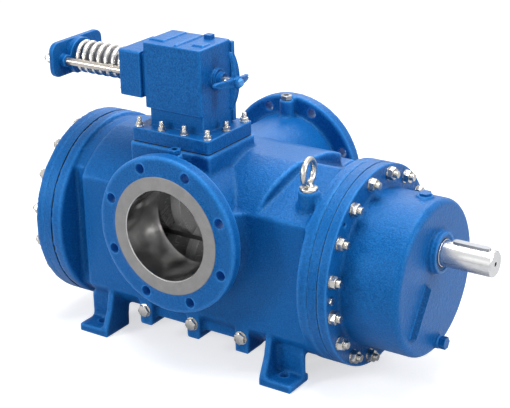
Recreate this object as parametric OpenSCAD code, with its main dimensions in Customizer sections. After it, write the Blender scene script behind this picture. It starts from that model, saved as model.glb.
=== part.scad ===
// Twin screw pump with flanged ports, foot mounting and a spring-loaded relief valve
// The origin is on the base plane, at the centre of the four foot bolts
// +X runs along the shafts to the drive end, -Y faces the suction port and +Z is up

/* [Ports] */
// Distance from the pump's centre plane to each port face
port_reach = 258; // [250:1:300]
// Distance of the ports from the middle of the feet, towards the drive end
port_x = 18; // [0:1:30]
// Height of the port axis above the casing axis
port_rise = 80; // [76:1:84]
// Radius of the port bore
port_bore_r = 98; // [80:1:100]
// Radius of the port flange
port_flange_r = 170; // [166:1:172]
// Thickness of the port flange
port_flange_t = 30; // [24:1:34]
// Radius of the raised sealing face
seal_face_r = 128; // [120:1:130]
// Height of the raised sealing face
seal_face_t = 3; // [2:0.5:5]
// Radius of the port bolt circle
port_pitch_r = 147.5; // [145:0.5:150]
// Radius of each port bolt hole
port_hole_r = 11; // [9:0.5:12]
// Number of bolt holes in a port flange
port_holes = 8; // [4:4:12]
// Radius of the neck behind a port flange
neck_r = 126; // [116:1:127]

/* [Casing] */
// Height of the casing axis above the base plane
axis_h = 236; // [230:1:260]
// Radius of the round casing body
body_r = 213; // [208:1:214]
// Half width of the casing over its flat sides
side_y = 170; // [166:1:176]
// Half width of the narrow end of the casing
narrow_y = 150; // [144:1:158]
// Wall of the casing
wall = 22; // [16:1:24]
// Height of the top deck above the casing axis
deck_rise = 209; // [206:1:211]
// Half length of the casing between its end faces
casing_half = 332; // [326:1:345]
// Radius of the casing's end flanges
end_r = 215; // [213:1:225]
// Thickness of the casing's end flanges
end_t = 27; // [20:1:32]
// Radius of the round end openings
end_bore_r = 142; // [138:1:144]
// Start of the raised block, counted from the middle of the feet
block_left = 272; // [266:1:280]
// End of the raised block at the front of the casing
block_right_front = 184; // [176:1:190]
// End of the raised block at the rear of the casing
block_right_rear = 238; // [230:1:244]

/* [Feet] */
// Distance of a foot bolt from the middle, along the shafts
foot_x = 243; // [236:1:250]
// Distance of a foot bolt from the middle, across the shafts
foot_y = 163; // [158:1:168]
// Length of a foot plate along the shafts
foot_len = 81; // [74:1:90]
// Width of a foot plate
foot_w = 72; // [64:1:80]
// Thickness of a foot plate
foot_t = 18; // [14:1:24]
// Thickness of the foot webs
foot_web = 15; // [10:1:18]
// Radius of a foot bolt hole
foot_hole_r = 11; // [8:0.5:13]

/* [End plates and covers] */
// Thickness of a bearing bracket plate
bracket_t = 20; // [16:1:26]
// Thickness of the flange of an end cover
cover_t = 21; // [16:1:26]
// Thickness of a gasket
gasket_t = 1; // [0.5:0.1:2]
// Radius of the gear case drum
drum_r = 166; // [162:1:170]
// Length of the gear case drum beyond its flange
drum_len = 132; // [126:1:150]
// Wall of the gear case drum
drum_wall = 13; // [10:1:15]
// Rounding of the drum's outer edge
drum_round = 14; // [6:1:18]
// Length of the non-drive end cover beyond its flange
end_cover_len = 32; // [30:1:45]
// Radius of the circle of cover studs
stud_pitch_r = 195; // [193:1:198]
// Number of cover studs at each end
cover_studs = 16; // [8:4:20]
// Radius of a cover stud
stud_r = 8; // [6:0.5:9]

/* [Rotors] */
// Module of the timing gears
gear_module = 4; // [4:0.05:4.1]
// Teeth on each timing gear
gear_teeth = 31; // [31:1:32]
// Width of a timing gear
gear_w = 40; // [30:1:48]
// Outer radius of the screws
screw_r = 88; // [84:0.5:90]
// Lead of the screw thread
screw_lead = 60; // [50:1:64]
// Turns of thread on each half of a rotor
screw_turns = 3; // [2:1:3]
// Gap between the two halves of a rotor at the middle
screw_split = 10; // [4:1:16]
// Angle of the screw that one land covers
land_angle = 152; // [140:1:152]
// Clearance between a screw tip and the root of the other screw
root_gap = 0.5; // [0.4:0.1:1]
// Clearance between a screw tip and the liner
liner_gap = 0.3; // [0.3:0.1:0.6]
// Wall of the liner
liner_wall = 12; // [8:1:12]
// Radius of the shafts under the screws
shaft_r = 28; // [26:0.5:28.5]
// Radius of the shafts at the drive end bearings
bearing_seat_r = 30; // [29.5:0.5:31]
// Radius of the shafts at the non-drive end bearings
end_seat_r = 26; // [24:0.5:26]
// Outer radius of the bearings
bearing_r = 55; // [52:0.5:56]
// Width of the bearings
bearing_w = 24; // [20:1:26]
// Radius of the shaft end that carries the coupling
coupling_r = 27.5; // [25:0.5:28]
// Length of the shaft end beyond the gear case
coupling_len = 127; // [110:1:140]
// Width of the coupling key
key_w = 16; // [12:1:18]
// Length of the coupling key
key_len = 80; // [60:1:90]

/* [Relief valve] */
// Length of the valve pad along the shafts
pad_x = 197; // [190:1:204]
// Width of the valve pad
pad_y = 160; // [150:1:166]
// Thickness of the valve's base flange
pad_flange_t = 29; // [24:1:34]
// Height of the casing pad above the deck
pad_rise = 26; // [22:1:30]
// Length of the valve box along the shafts
valve_x = 145; // [140:1:150]
// Width of the valve box
valve_y = 110; // [104:1:114]
// Height of the valve box
valve_z = 140; // [134:1:150]
// Height of the neck under the valve box
valve_neck = 39; // [34:1:50]
// Height of the valve axis above the bottom of the valve box
valve_axis = 69; // [64:1:72]
// Length of the spring bonnet block
bonnet_len = 54; // [50:1:64]
// Outer radius of the relief spring
spring_r = 36; // [34:1:38]
// Radius of the spring wire
wire_r = 5; // [4:0.5:5.5]
// Length of the relief spring
spring_len = 140; // [130:1:150]
// Number of coils of the relief spring
spring_coils = 7; // [5:0.5:8]
// Distance of each tie rod from the valve axis
rod_y = 50; // [50:0.5:52]
// Radius of a tie rod
rod_r = 8; // [6:0.5:8]
// Thickness of the end plate
plate_t = 11; // [8:1:16]
// Travel of the relief disc when it opens
relief_lift = 12; // [8:1:14]
// Radius of the handwheel over its arms
wheel_r = 60; // [54:1:64]
// Travel of the lifting spindle
spindle_travel = 10; // [6:1:10]

/* [Hidden] */

$fn = 64;
eps = 1;
// Radial gap of parts that are pressed or slid together and don't move
fit = 0.05;
// Radial gap of parts that run in one another
run = 0.08;
// Gap between parts that pass near each other
near = 0.3;
blue = [0.1, 0.38, 0.72];
steel = [0.75, 0.76, 0.78];
dark_steel = [0.45, 0.46, 0.48];
bronze = [0.72, 0.55, 0.3];
black = [0.1, 0.1, 0.11];

// Heights and places of the main axes
centre_dist = gear_module * gear_teeth;
drive_z = axis_h + centre_dist / 2;
idler_z = axis_h - centre_dist / 2;
port_z = axis_h + port_rise;
deck_z = axis_h + deck_rise;

// Stations along the shafts, mirrored at the two ends
spigot_len = 72;
bracket_in = casing_half + gasket_t;
bracket_out = bracket_in + bracket_t;
cover_in = bracket_out + gasket_t;
cover_out = cover_in + cover_t;
drum_end = cover_out + drum_len;

// Rotors
end_spigot = casing_half - spigot_len;
liner_r = screw_r + liner_gap;
liner_out_r = liner_r + liner_wall;
root_r = centre_dist - screw_r - root_gap;
screw_half = screw_turns * screw_lead;
screw_end = screw_split / 2 + screw_half;
liner_half = screw_end + 14;
partition_t = 18;
seal_seat_w = 10;
seal_ring_w = 26;
seal_ring_r = 42;
seal_chamber_r = 46;
spigot_gap = 0.3;
drive_bearing_x = bracket_in + 22;
end_bearing_x = bracket_out - bearing_w;
clamp_t = 7;
clamp_r = bearing_r + 5;
nut_w = 10;
nut_r = 40;
gear_x = drive_bearing_x + bearing_w + clamp_t + nut_w + 6;
gear_seat_r = 28.5;
boss_r = 46;
boss_h = 17;
boss_step = 9;
lip_w = 9;
lip_r = 36;
shaft_end = drum_end + coupling_len;

// Relief valve
pad_mid_x = port_x - 46.5;
pad_mid_y = -85;
pad_z = deck_z + pad_rise;
valve_gasket_t = 1.5;
flange_z = pad_z + valve_gasket_t;
flange_top = flange_z + pad_flange_t;
box_z = flange_top + valve_neck;
valve_left = pad_mid_x - 78.5;
valve_right = valve_left + valve_x;
valve_mid_y = pad_mid_y - 1;
spring_z = box_z + valve_axis;
box_top = box_z + valve_z;
chamber_r = 42;
seat_x = valve_left + 84;
seat_t = 12;
seat_out_r = 36;
seat_in_r = 27;
disc_r = 33;
disc_t = 10;
stem_r = 10;
bonnet_neck = 6;
bonnet_left = valve_left - bonnet_neck - bonnet_len;
bonnet_half_y = rod_y + rod_r + 2;
bonnet_half_z = 50;
spring_plate_t = 8;
spring_plate_x = bonnet_left - 2 - spring_plate_t;
spring_x = spring_plate_x - near - spring_len;
plate_right = spring_x - near;
plate_boss = 13;
plate_left = plate_right - plate_boss - plate_t;
plate_half_y = rod_y + 32;
plate_half_z = 38;
plate_shift = 3;
guide_len = spring_len - relief_lift - 6;
gland_r = 19;
spindle_r = 8;
passage_r = 19;
passage_x = 34;
passage_y = 26;

// Draws its children, which stand along Z, along X from the given station
module along_x(x = 0, y = 0, z = 0) translate([x, y, z]) rotate([90, 0, 90]) children();

// Draws its children, which stand along Z, along -Y from the given place
module along_front(x = 0, y = 0, z = 0) translate([x, y, z]) rotate([90, 0, 0]) children();

// Repeats its children on a circle about Z
module around(r, n, start = 0) for (i = [0 : n - 1]) rotate(start + i * 360 / n) translate([r, 0, 0]) children();

// Points of an arc about a centre
function arc(c, r, from, to, n) =
    [for (i = [0 : n]) c + r * [cos(from + (to - from) * i / n), sin(from + (to - from) * i / n)]];

// Outline of a rectangle with round corners about the origin
function round_rect(w, h, r, n = 4) = concat(
    arc([w / 2 - r, h / 2 - r], r, 0, 90, n), arc([r - w / 2, h / 2 - r], r, 90, 180, n),
    arc([r - w / 2, r - h / 2], r, 180, 270, n), arc([w / 2 - r, r - h / 2], r, 270, 360, n));

module tube(r_out, r_in, h) difference() {
    cylinder(r = r_out, h = h);
    translate([0, 0, -eps]) cylinder(r = r_in, h = h + 2 * eps);
}

// Both shaft axes at one station
module both_axes(x) {
    along_x(x, 0, drive_z) children();
    along_x(x, 0, idler_z) children();
}

// Two overlapping round bores, one about each shaft, with the waist between them filled
module eight(r, x0, x1, waist = 0) {
    both_axes(x0) cylinder(r = r, h = x1 - x0);
    if (waist > 0) translate([x0, -waist, idler_z]) cube([x1 - x0, 2 * waist, centre_dist]);
}

// Hexagon nut or head with a stud end, standing on the XY plane
module nut(r, h = 0) cylinder(r = r * 1.73, h = h > 0 ? h : r * 1.7, $fn = 6);

module stud(r, below, above) {
    translate([0, 0, -below]) cylinder(r = r, h = below + above);
    nut(r);
}

// Casing
module casing_outer() {
    // Raised block with the flat deck
    intersection() {
        along_x(-block_left, 0, axis_h) cylinder(r = body_r, h = block_left + block_right_rear);
        linear_extrude(deck_z) polygon([[-block_left, -side_y], [block_right_front, -side_y],
            [block_right_rear, 84], [block_right_rear, side_y], [-block_left, side_y]]);
        union() {
            translate([-block_left, -side_y, 0])
                cube([block_left + block_right_rear, 84 + side_y, deck_z + eps]);
            translate([-block_left, -side_y, 0])
                cube([block_left + block_right_rear, 2 * side_y, axis_h + 165]);
        }
    }
    // Drive end part with the sloping roof
    intersection() {
        along_x(0, 0, axis_h) cylinder(r = body_r, h = casing_half - end_t / 2);
        along_x(0, 0, axis_h) linear_extrude(casing_half) polygon([[-side_y, -body_r], [-side_y, 131],
            [-18, 205], [75, 167], [side_y, 125], [side_y, -body_r]]);
    }
    // Narrow non-drive end part
    intersection() {
        along_x(end_t / 2 - casing_half, 0, axis_h) cylinder(r = body_r - 8, h = casing_half - block_left);
        translate([-casing_half, -narrow_y, 0]) cube([casing_half, 2 * narrow_y, axis_h + body_r]);
    }
    for (x = [-casing_half, casing_half - end_t]) along_x(x, 0, axis_h) cylinder(r = end_r, h = end_t);
    for (side = [0, 1]) mirror([0, side, 0]) port_outer();
    // Plinth of the relief valve
    translate([pad_mid_x - pad_x / 2 - 4, pad_mid_y - pad_y / 2 - 4, port_z])
        cube([pad_x + 8, pad_y + 8, pad_z - port_z]);
    eye_boss();
    bottom_rail();
    for (sx = [0, 1], sy = [0, 1]) mirror([sx, 0, 0]) mirror([0, sy, 0]) foot();
}

// Port flange, its neck and the flare into the casing side, on the front
module port_outer() {
    along_front(port_x, -port_reach + seal_face_t + port_flange_t, port_z)
        cylinder(r = port_flange_r, h = port_flange_t);
    along_front(port_x, -port_reach + seal_face_t + eps, port_z) cylinder(r = seal_face_r, h = seal_face_t + eps);
    along_front(port_x, 0, port_z) cylinder(r = neck_r, h = port_reach - seal_face_t - eps);
    intersection() {
        along_front(port_x, 0, port_z) rotate_extrude()
            polygon(concat([[0, side_y - 30], [neck_r + 36, side_y - 30]],
                arc([neck_r + 36, side_y + 36], 36, 270, 180, 6), [[0, side_y + 36]]));
        translate([-block_left, -port_reach, 0]) cube([2 * block_left, port_reach, axis_h + 131]);
    }
    // Boss of the plug behind the flange
    translate([port_x, -port_reach + seal_face_t + port_flange_t + 15, port_z]) cylinder(r = 16, h = plug_rise);
}
plug_rise = 166;

module eye_boss() translate([eye_x, eye_y, axis_h + 100]) cylinder(r = 22, h = eye_z - axis_h - 100);
eye_x = casing_half - 52;
eye_y = -120;
eye_z = axis_h + 189;

// Rail with three bolted lugs under the front of the casing
lug_x = [-114, 14, 141];
lug_w = 34;
module bottom_rail() {
    for (x = lug_x) translate([x - lug_w / 2, -side_y, axis_h - 192]) cube([lug_w, 60, 70]);
    translate([lug_x[0], 16 - side_y, axis_h - 172]) cube([lug_x[2] - lug_x[0], 40, 40]);
}

// Foot at the drive end and the front
module foot() {
    inner = foot_x - foot_len / 2;
    front = -foot_y - foot_w / 2 - 1;
    back = front + foot_w;
    translate([inner, front, 0]) cube([foot_len, foot_w, foot_t]);
    translate([inner, 0, 0]) rotate([90, 0, 90]) linear_extrude(foot_web)
        polygon([[front, 0], [front, foot_t], [front + 20, foot_t + 42], [front + 34, foot_t + 100],
            [front + 28, foot_t + 112], [-side_y + 60, foot_t + 112], [back + 10, 0]]);
    translate([inner, back - 10, 0]) rotate([90, 0, 0]) linear_extrude(12)
        polygon([[0, 0], [foot_len, 0], [foot_len, foot_t + 55], [foot_len - 26, foot_t + 84],
            [0, foot_t + 84]]);
}

module casing_inner() {
    cav_r = body_r - wall;
    cav_y = side_y - wall;
    // Chambers round the liner
    difference() {
        intersection() {
            along_x(-block_left + 8, 0, axis_h) cylinder(r = cav_r, h = 2 * (block_left - 8));
            translate([-block_left, -cav_y, 0]) cube([2 * block_left, 2 * cav_y, deck_z - wall]);
            translate([-block_left, -casing_half, 0]) cube([2 * block_left, 2 * casing_half, axis_h + 165 - wall]);
        }
        for (x = [-liner_half, liner_half - partition_t])
            translate([x, -body_r, 0]) cube([partition_t, 2 * body_r, 2 * body_r]);
        // Ribs that part the suction side from the discharge side
        translate([-liner_half, rib_y - 4, axis_h]) cube([2 * liner_half, 8, body_r]);
        translate([-liner_half, -6, 0]) cube([2 * liner_half, 12, axis_h]);
    }
    // Ways from the rear chamber to the two screw ends
    for (x = [-liner_half, liner_half - partition_t])
        translate([x - eps, liner_out_r + 6, axis_h - 70]) cube([partition_t + 2 * eps, 36, 140]);
    eight(liner_out_r + fit, -liner_half - eps, liner_half + eps, 50);
    for (x = [-casing_half - eps, end_spigot - eps])
        along_x(x, 0, axis_h) cylinder(r = end_bore_r, h = casing_half - end_spigot + 2 * eps);
}
rib_y = pad_mid_y + 1;

module pump_casing() color(blue) difference() {
    casing_outer();
    casing_inner();
    for (side = [0, 1]) mirror([0, side, 0]) {
        along_front(port_x, -side_y + wall + eps, port_z) cylinder(r = port_bore_r, h = port_reach);
        along_front(port_x, -port_reach + seal_face_t + port_flange_t + 0.5, port_z)
            around(port_pitch_r, port_holes, 180 / port_holes) cylinder(r = port_hole_r, h = port_flange_t + 10);
        translate([port_x, -port_reach + seal_face_t + port_flange_t + 15, port_z + plug_rise - 14])
            cylinder(r = plug_r + fit, h = 20);
    }
    for (sx = [-1, 1], sy = [-1, 1]) translate([sx * foot_x, sy * foot_y, -eps])
        cylinder(r = foot_hole_r, h = foot_t + 2 * eps);
    for (x = [-casing_half - eps, casing_half - 22]) along_x(x, 0, axis_h)
        around(stud_pitch_r, cover_studs, 180 / cover_studs) cylinder(r = stud_r + fit, h = 22 + eps);
    translate([eye_x, eye_y, eye_z - eye_stem_len - 2]) cylinder(r = eye_stem_r + fit, h = 30);
    for (x = lug_x) along_front(x, -side_y + 18, lug_bolt_z) cylinder(r = 8 + fit, h = 20);
    valve_stud_places() translate([0, 0, pad_z - 20]) cylinder(r = 5 + fit, h = 20 + eps);
    valve_passages() cylinder(r = passage_r, h = pad_z + eps - axis_h - 120);
}

lug_bolt_z = axis_h - 156;
plug_r = 9;
eye_stem_r = 10;
eye_stem_len = 24;

// Places of the ten studs of the relief valve
module valve_stud_places() {
    x_step = (pad_x - 23) / 3;
    y_step = (pad_y - 26) / 2;
    for (i = [-1.5 : 1 : 1.5], j = [-1, 0, 1])
        if (abs(i) == 1.5 || j != 0)
            translate([pad_mid_x + i * x_step, pad_mid_y + j * y_step, 0]) children();
}

// The two ways between casing and relief valve, from inside the casing upwards
module valve_passages() {
    translate([seat_x - passage_x, rib_y - passage_y, axis_h + 120]) children();
    translate([seat_x + passage_x, rib_y + passage_y, axis_h + 120]) children();
}

module screw_liner() color(steel) difference() {
    eight(liner_out_r, -liner_half, liner_half, 50 - fit);
    eight(liner_r, -liner_half - eps, liner_half + eps);
    translate([-liner_half - eps, -liner_wall, idler_z + screw_r - 40])
        cube([2 * liner_half + 2 * eps, 2 * liner_wall, centre_dist - 2 * screw_r + 80]);
    // Window towards the suction port
    translate([partition_t + 20 - liner_half, -2 * liner_out_r, axis_h - 112])
        cube([2 * (liner_half - partition_t - 20), 2 * liner_out_r, 224]);
}

// Bearing brackets
module bracket(bearing_x, housing_end, seat) difference() {
    union() {
        along_x(bracket_in, 0, axis_h) cylinder(r = end_r, h = bracket_t);
        along_x(end_spigot + gasket_t, 0, axis_h) cylinder(r = end_bore_r - spigot_gap, h = 72);
        hull() both_axes(bracket_in) cylinder(r = bearing_r + 9, h = housing_end - bracket_in, $fn = 32);
    }
    both_axes(bearing_x) cylinder(r = bearing_r + fit, h = 100);
    both_axes(end_spigot) cylinder(r = seal_chamber_r, h = seal_ring_w + 22);
    both_axes(end_spigot) cylinder(r = seat + 4, h = 200);
    along_x(bracket_in - eps, 0, axis_h) around(stud_pitch_r, cover_studs, 180 / cover_studs)
        cylinder(r = stud_r + fit, h = bracket_t + 2 * eps);
}
housing_out = drive_bearing_x + bearing_w;

module drive_end_bracket() color(blue) bracket(drive_bearing_x, housing_out, bearing_seat_r);

module non_drive_end_bracket() color(blue) mirror([1, 0, 0]) bracket(end_bearing_x, bracket_out, bearing_seat_r);

// Covers
module stud_holes(x, h) along_x(x - eps, 0, axis_h) around(stud_pitch_r, cover_studs, 180 / cover_studs)
    cylinder(r = stud_r + fit, h = h + 2 * eps);

module gear_case_cover() color(blue) difference() {
    union() {
        along_x(cover_in, 0, axis_h) rotate_extrude() polygon(concat([[0, 0], [end_r, 0], [end_r, cover_t]],
            arc([drum_r + 8, cover_t + 8], 8, 270, 180, 4),
            arc([drum_r - drum_round, cover_t + drum_len - drum_round], drum_round, 0, 90, 5),
            [[0, cover_t + drum_len]]));
        along_x(drum_end - eps, 0, drive_z) cylinder(r1 = boss_r + 1, r2 = boss_r, h = boss_step + eps);
        along_x(drum_end - eps, 0, drive_z) cylinder(r = boss_r - 3, h = boss_h + eps);
        drum_rib();
        along_x(drum_end - eps, drain_y, drain_z) cylinder(r = 15, h = 9 + eps);
        translate([filler_x, filler_y, axis_h]) cylinder(r = 17, h = drum_r + 4);
    }
    along_x(cover_in - eps, 0, axis_h) cylinder(r = drum_r - drum_wall, h = cover_t + drum_len - drum_wall + eps);
    along_x(cover_in, 0, drive_z) cylinder(r = gear_seat_r + 1.5, h = 400);
    along_x(drum_end + boss_h - lip_w - 2, 0, drive_z) cylinder(r = lip_r + fit, h = lip_w + 10);
    stud_holes(cover_in, cover_t);
    along_x(cover_in - eps, -jack_r, axis_h) cylinder(r = 5 + fit, h = cover_t + 2 * eps);
    along_x(cover_in + 8, -jack_r * cos(45), axis_h + jack_r * sin(45)) cylinder(r = 4.5, h = cover_t);
    along_x(drum_end - 20, drain_y, drain_z) cylinder(r = 8 + fit, h = 40);
    translate([filler_x, filler_y, axis_h + drum_r - drum_wall - 10]) cylinder(r = 8 + fit, h = 60);
}
jack_r = 198;
drain_y = 10;
drain_z = axis_h - 144;
filler_x = drum_end - 38;
filler_y = 17;

// Slanting rib on the end face of the drum
module drum_rib() along_x(drum_end - eps, -74, axis_h - 46) rotate(-35) hull() {
    translate([-13, -59, 0]) cube([26, 118, eps]);
    translate([-1.5, -52, 0]) cube([3, 104, 12]);
}

module non_drive_end_cover() color(blue) mirror([1, 0, 0]) difference() {
    along_x(cover_in, 0, axis_h) rotate_extrude() polygon(concat([[0, 0], [end_r, 0], [end_r, cover_t]],
        arc([drum_r - 10, cover_t + 10], 10, 270, 180, 3),
        arc([drum_r - 34, cover_t + end_cover_len - 14], 14, 0, 90, 4), [[0, cover_t + end_cover_len]]));
    along_x(cover_in - eps, 0, axis_h)
        cylinder(r = drum_r - 20 - drum_wall, h = cover_t + end_cover_len - drum_wall + eps);
    stud_holes(cover_in, cover_t);
}

// The two ring gaskets of one end
module end_gaskets() color(black) for (x = [casing_half, bracket_out]) difference() {
    along_x(x, 0, axis_h) tube(end_r - 1, x == casing_half ? end_bore_r + 8 : drum_r, gasket_t);
    stud_holes(x, gasket_t);
}

module drive_end_gaskets() end_gaskets();

module non_drive_end_gaskets() mirror([1, 0, 0]) end_gaskets();

module end_studs() color(steel) along_x(cover_out, 0, axis_h)
    around(stud_pitch_r, cover_studs, 180 / cover_studs) stud(stud_r, cover_out - casing_half + 20, 22);

module drive_end_studs() end_studs();

module non_drive_end_studs() mirror([1, 0, 0]) end_studs();

module jack_screw() color(steel) along_x(cover_out, -jack_r, axis_h) {
    translate([0, 0, -cover_t + 2]) cylinder(r = 5, h = cover_t + 6);
    nut(5, 7);
}

module eye_bolt() color(steel) translate([eye_x, eye_y, eye_z]) {
    translate([0, 0, -eye_stem_len]) cylinder(r = eye_stem_r, h = eye_stem_len + 2);
    cylinder(r = 19, h = 6);
    cylinder(r1 = 16, r2 = 9, h = 16);
    translate([0, 0, 6 + eye_ring_r + eye_wire_r]) rotate([0, 90, eye_turn])
        rotate_extrude() translate([eye_ring_r, 0]) circle(r = eye_wire_r, $fn = 32);
}
eye_ring_r = 25;
eye_wire_r = 6.5;
eye_turn = 7;

module port_plugs() color(dark_steel) for (sy = [-1, 1])
    translate([port_x, sy * (port_reach - seal_face_t - port_flange_t - 15), port_z + plug_rise]) {
        translate([0, 0, -12]) cylinder(r = plug_r, h = 13);
        nut(8, 9);
    }

module lug_bolts() color(steel) for (x = lug_x) along_front(x, -side_y, lug_bolt_z) {
    translate([0, 0, -16]) cylinder(r = 8, h = 18);
    nut(8, 9);
}

module drain_plug() color(blue) along_x(drum_end + 9, drain_y, drain_z) {
    translate([0, 0, -18]) cylinder(r = 8, h = 20);
    nut(8, 14);
}

module filler_plug() color(blue) translate([filler_x, filler_y, axis_h + drum_r + 4]) {
    translate([0, 0, -14]) cylinder(r = 8, h = 16);
    nut(8, 5);
}

module shaft_lip_seal() color(black) along_x(drum_end + boss_h - lip_w - 2, 0, drive_z)
    tube(lip_r, gear_seat_r + run, lip_w);

// Seats of the four mechanical seals, held in the brackets
module seal_seats() color(dark_steel) for (side = [0, 1]) mirror([side, 0, 0])
    both_axes(end_spigot + 22 + seal_ring_w - seal_seat_w)
        tube(seal_chamber_r - fit, bearing_seat_r + 3, seal_seat_w);

module bearing_outer_rings() color(steel) {
    both_axes(drive_bearing_x) tube(bearing_r, bearing_r - 7, bearing_w);
    mirror([1, 0, 0]) both_axes(end_bearing_x) tube(bearing_r, bearing_r - 7, bearing_w);
}

// Plate that holds the outer rings of one end
module clamp_plate(x) difference() {
    hull() both_axes(x) cylinder(r = clamp_r, h = clamp_t, $fn = 32);
    both_axes(x - eps) cylinder(r = nut_r + 3, h = clamp_t + 2 * eps);
}

module drive_end_clamp_plate() color(dark_steel) clamp_plate(housing_out);

module non_drive_end_clamp_plate() color(dark_steel) mirror([1, 0, 0]) clamp_plate(bracket_out);

// Shaft made of round steps, each with its start, end and radius
module stepped_shaft(steps) for (s = steps) along_x(s[0]) cylinder(r = s[2], h = s[1] - s[0]);

collar_x = screw_end + 0.1;
end_nut_x = end_bearing_x + bearing_w;
drive_nut_x = drive_bearing_x + bearing_w;
rotor_steps = [[-end_nut_x - nut_w - 3, eps - end_bearing_x, end_seat_r], [-end_bearing_x, collar_x + eps, shaft_r],
    [collar_x, collar_x + 10, bearing_seat_r + 2], [collar_x, drive_nut_x + nut_w + 3, bearing_seat_r],
    [drive_nut_x, gear_x + gear_w + 12, gear_seat_r]];

module drive_shaft() color(steel) translate([0, 0, drive_z]) difference() {
    union() {
        stepped_shaft(rotor_steps);
        stepped_shaft([[gear_x, drum_end + boss_h, gear_seat_r]]);
        along_x(gear_x) rotate_extrude() polygon([[0, 0], [coupling_r, 0], [coupling_r, shaft_end - gear_x - 2],
            [coupling_r - 2, shaft_end - gear_x], [0, shaft_end - gear_x]]);
    }
    along_x(shaft_end - 18) cylinder(r = 5, h = 30);
    translate([key_x + key_w / 2, 0, coupling_r - 6]) round_key(key_w / 2, 20);
    gear_key_slot();
}
key_x = shaft_end - key_len - 12;

module idler_shaft() color(steel) translate([0, 0, idler_z]) difference() {
    stepped_shaft(rotor_steps);
    gear_key_slot();
}

module gear_key_slot() translate([gear_x, -6, gear_seat_r - 4]) cube([gear_w, 12, 20]);

module gear_key() color(dark_steel) translate([gear_x + 1, -6 + fit, gear_seat_r - 4]) cube([gear_w - 2, 12 - 2 * fit, 8]);

module drive_gear_key() translate([0, 0, drive_z]) gear_key();

module idler_gear_key() translate([0, 0, idler_z]) gear_key();

// Coupling key or its slot, with round ends, from the centre of its inner end
module round_key(r, h) {
    translate([0, -r, 0]) cube([key_len - key_w, 2 * r, h]);
    for (x = [0, key_len - key_w]) translate([x, 0, 0]) cylinder(r = r, h = h);
}

module coupling_key() color(dark_steel) translate([key_x + key_w / 2, 0, drive_z + coupling_r - 6])
    round_key(key_w / 2 - fit, 10);

// One half of the upper rotor's thread, with its land pointing at the other shaft at the middle
land_steps = 10;
root_steps = 8;
slices = 20;
module screw_thread() color(steel) along_x(-screw_end) rotate(-90 - 360 * screw_turns)
    difference() {
        linear_extrude(screw_half, twist = -360 * screw_turns, slices = slices * screw_turns,
            segments = land_steps + root_steps + 2, $fn = 3)
            polygon(concat(arc([0, 0], screw_r, -land_angle / 2, land_angle / 2, land_steps),
                arc([0, 0], root_r, land_angle / 2 + 1, 359 - land_angle / 2, root_steps)));
        translate([0, 0, -eps]) cylinder(r = (shaft_r + fit) / cos(15), h = screw_half + 2 * eps, $fn = 12);
    }

module drive_screw_left() translate([0, 0, drive_z]) screw_thread();

module drive_screw_right() translate([0, 0, drive_z]) mirror([1, 0, 0]) screw_thread();

module idler_screw_left() translate([0, 0, idler_z]) mirror([0, 1, 0]) screw_thread();

module idler_screw_right() translate([0, 0, idler_z]) mirror([0, 1, 0]) mirror([1, 0, 0]) screw_thread();

// Involute timing gear with a bore and a keyway
pressure = 20;
backlash = 0.35;
flank_steps = 3;
function involute(base, roll) =
    [base * (cos(roll) + roll * PI / 180 * sin(roll)), base * (sin(roll) - roll * PI / 180 * cos(roll))];
function polar(p) = [norm(p), atan2(p[1], p[0])];
function tooth(pitch, base, tip, root) =
    let (lean = tan(pressure) * 180 / PI - pressure,
        half = 90 / gear_teeth - backlash / 4 / pitch * 180 / PI + lean,
        roll_tip = sqrt(pow(tip / base, 2) - 1) * 180 / PI,
        flank = [for (i = [0 : flank_steps]) polar(involute(base, roll_tip * i / flank_steps))])
    concat([[root, -half]], [for (p = flank) [p[0], p[1] - half]],
        [for (i = [flank_steps : -1 : 0]) [flank[i][0], half - flank[i][1]]], [[root, half]]);
module timing_gear() {
    pitch = gear_module * gear_teeth / 2;
    points = tooth(pitch, pitch * cos(pressure), pitch + gear_module, pitch - 1.25 * gear_module);
    difference() {
        linear_extrude(gear_w) polygon([for (i = [0 : gear_teeth - 1], p = points)
            p[0] * [cos(p[1] + i * 360 / gear_teeth), sin(p[1] + i * 360 / gear_teeth)]]);
        translate([0, 0, -eps]) cylinder(r = gear_seat_r + fit, h = gear_w + 2 * eps);
    }
}

module keyed_gear(turn, z) color(dark_steel) difference() {
    along_x(gear_x, 0, z) rotate(turn) timing_gear();
    translate([gear_x - eps, -6, z]) cube([gear_w + 2 * eps, 12, gear_seat_r + 4.2]);
}

module drive_gear() keyed_gear(-90, drive_z);

module idler_gear() keyed_gear(90 + 180 / gear_teeth, idler_z);

// Inner ring of a bearing with its rollers and cage
rollers = 12;
module bearing_ring(seat) {
    inner = (bearing_r - 7 + seat) / 2 - 2;
    roller = (bearing_r - 7 - run - inner) / 2;
    tube(inner + 1, seat + fit, bearing_w);
    translate([0, 0, 2]) around(inner + roller, rollers) cylinder(r = roller, h = bearing_w - 4);
    translate([0, 0, bearing_w / 2 - 2]) tube(inner + roller + 2, inner, 4);
}

module rotor_bearings() color(dark_steel) {
    along_x(drive_bearing_x) bearing_ring(bearing_seat_r);
    mirror([1, 0, 0]) along_x(end_bearing_x) bearing_ring(end_seat_r);
}

module drive_bearing_rings() translate([0, 0, drive_z]) rotor_bearings();

module idler_bearing_rings() translate([0, 0, idler_z]) rotor_bearings();

// Rotating rings of the mechanical seals, each against its seat
module rotor_seals() color(bronze) {
    along_x(end_spigot + 12) tube(seal_ring_r, bearing_seat_r + fit, seal_ring_w);
    mirror([1, 0, 0]) along_x(end_spigot + 12) tube(seal_ring_r, shaft_r + fit, seal_ring_w);
}

module drive_seal_rings() translate([0, 0, drive_z]) rotor_seals();

module idler_seal_rings() translate([0, 0, idler_z]) rotor_seals();

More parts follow.
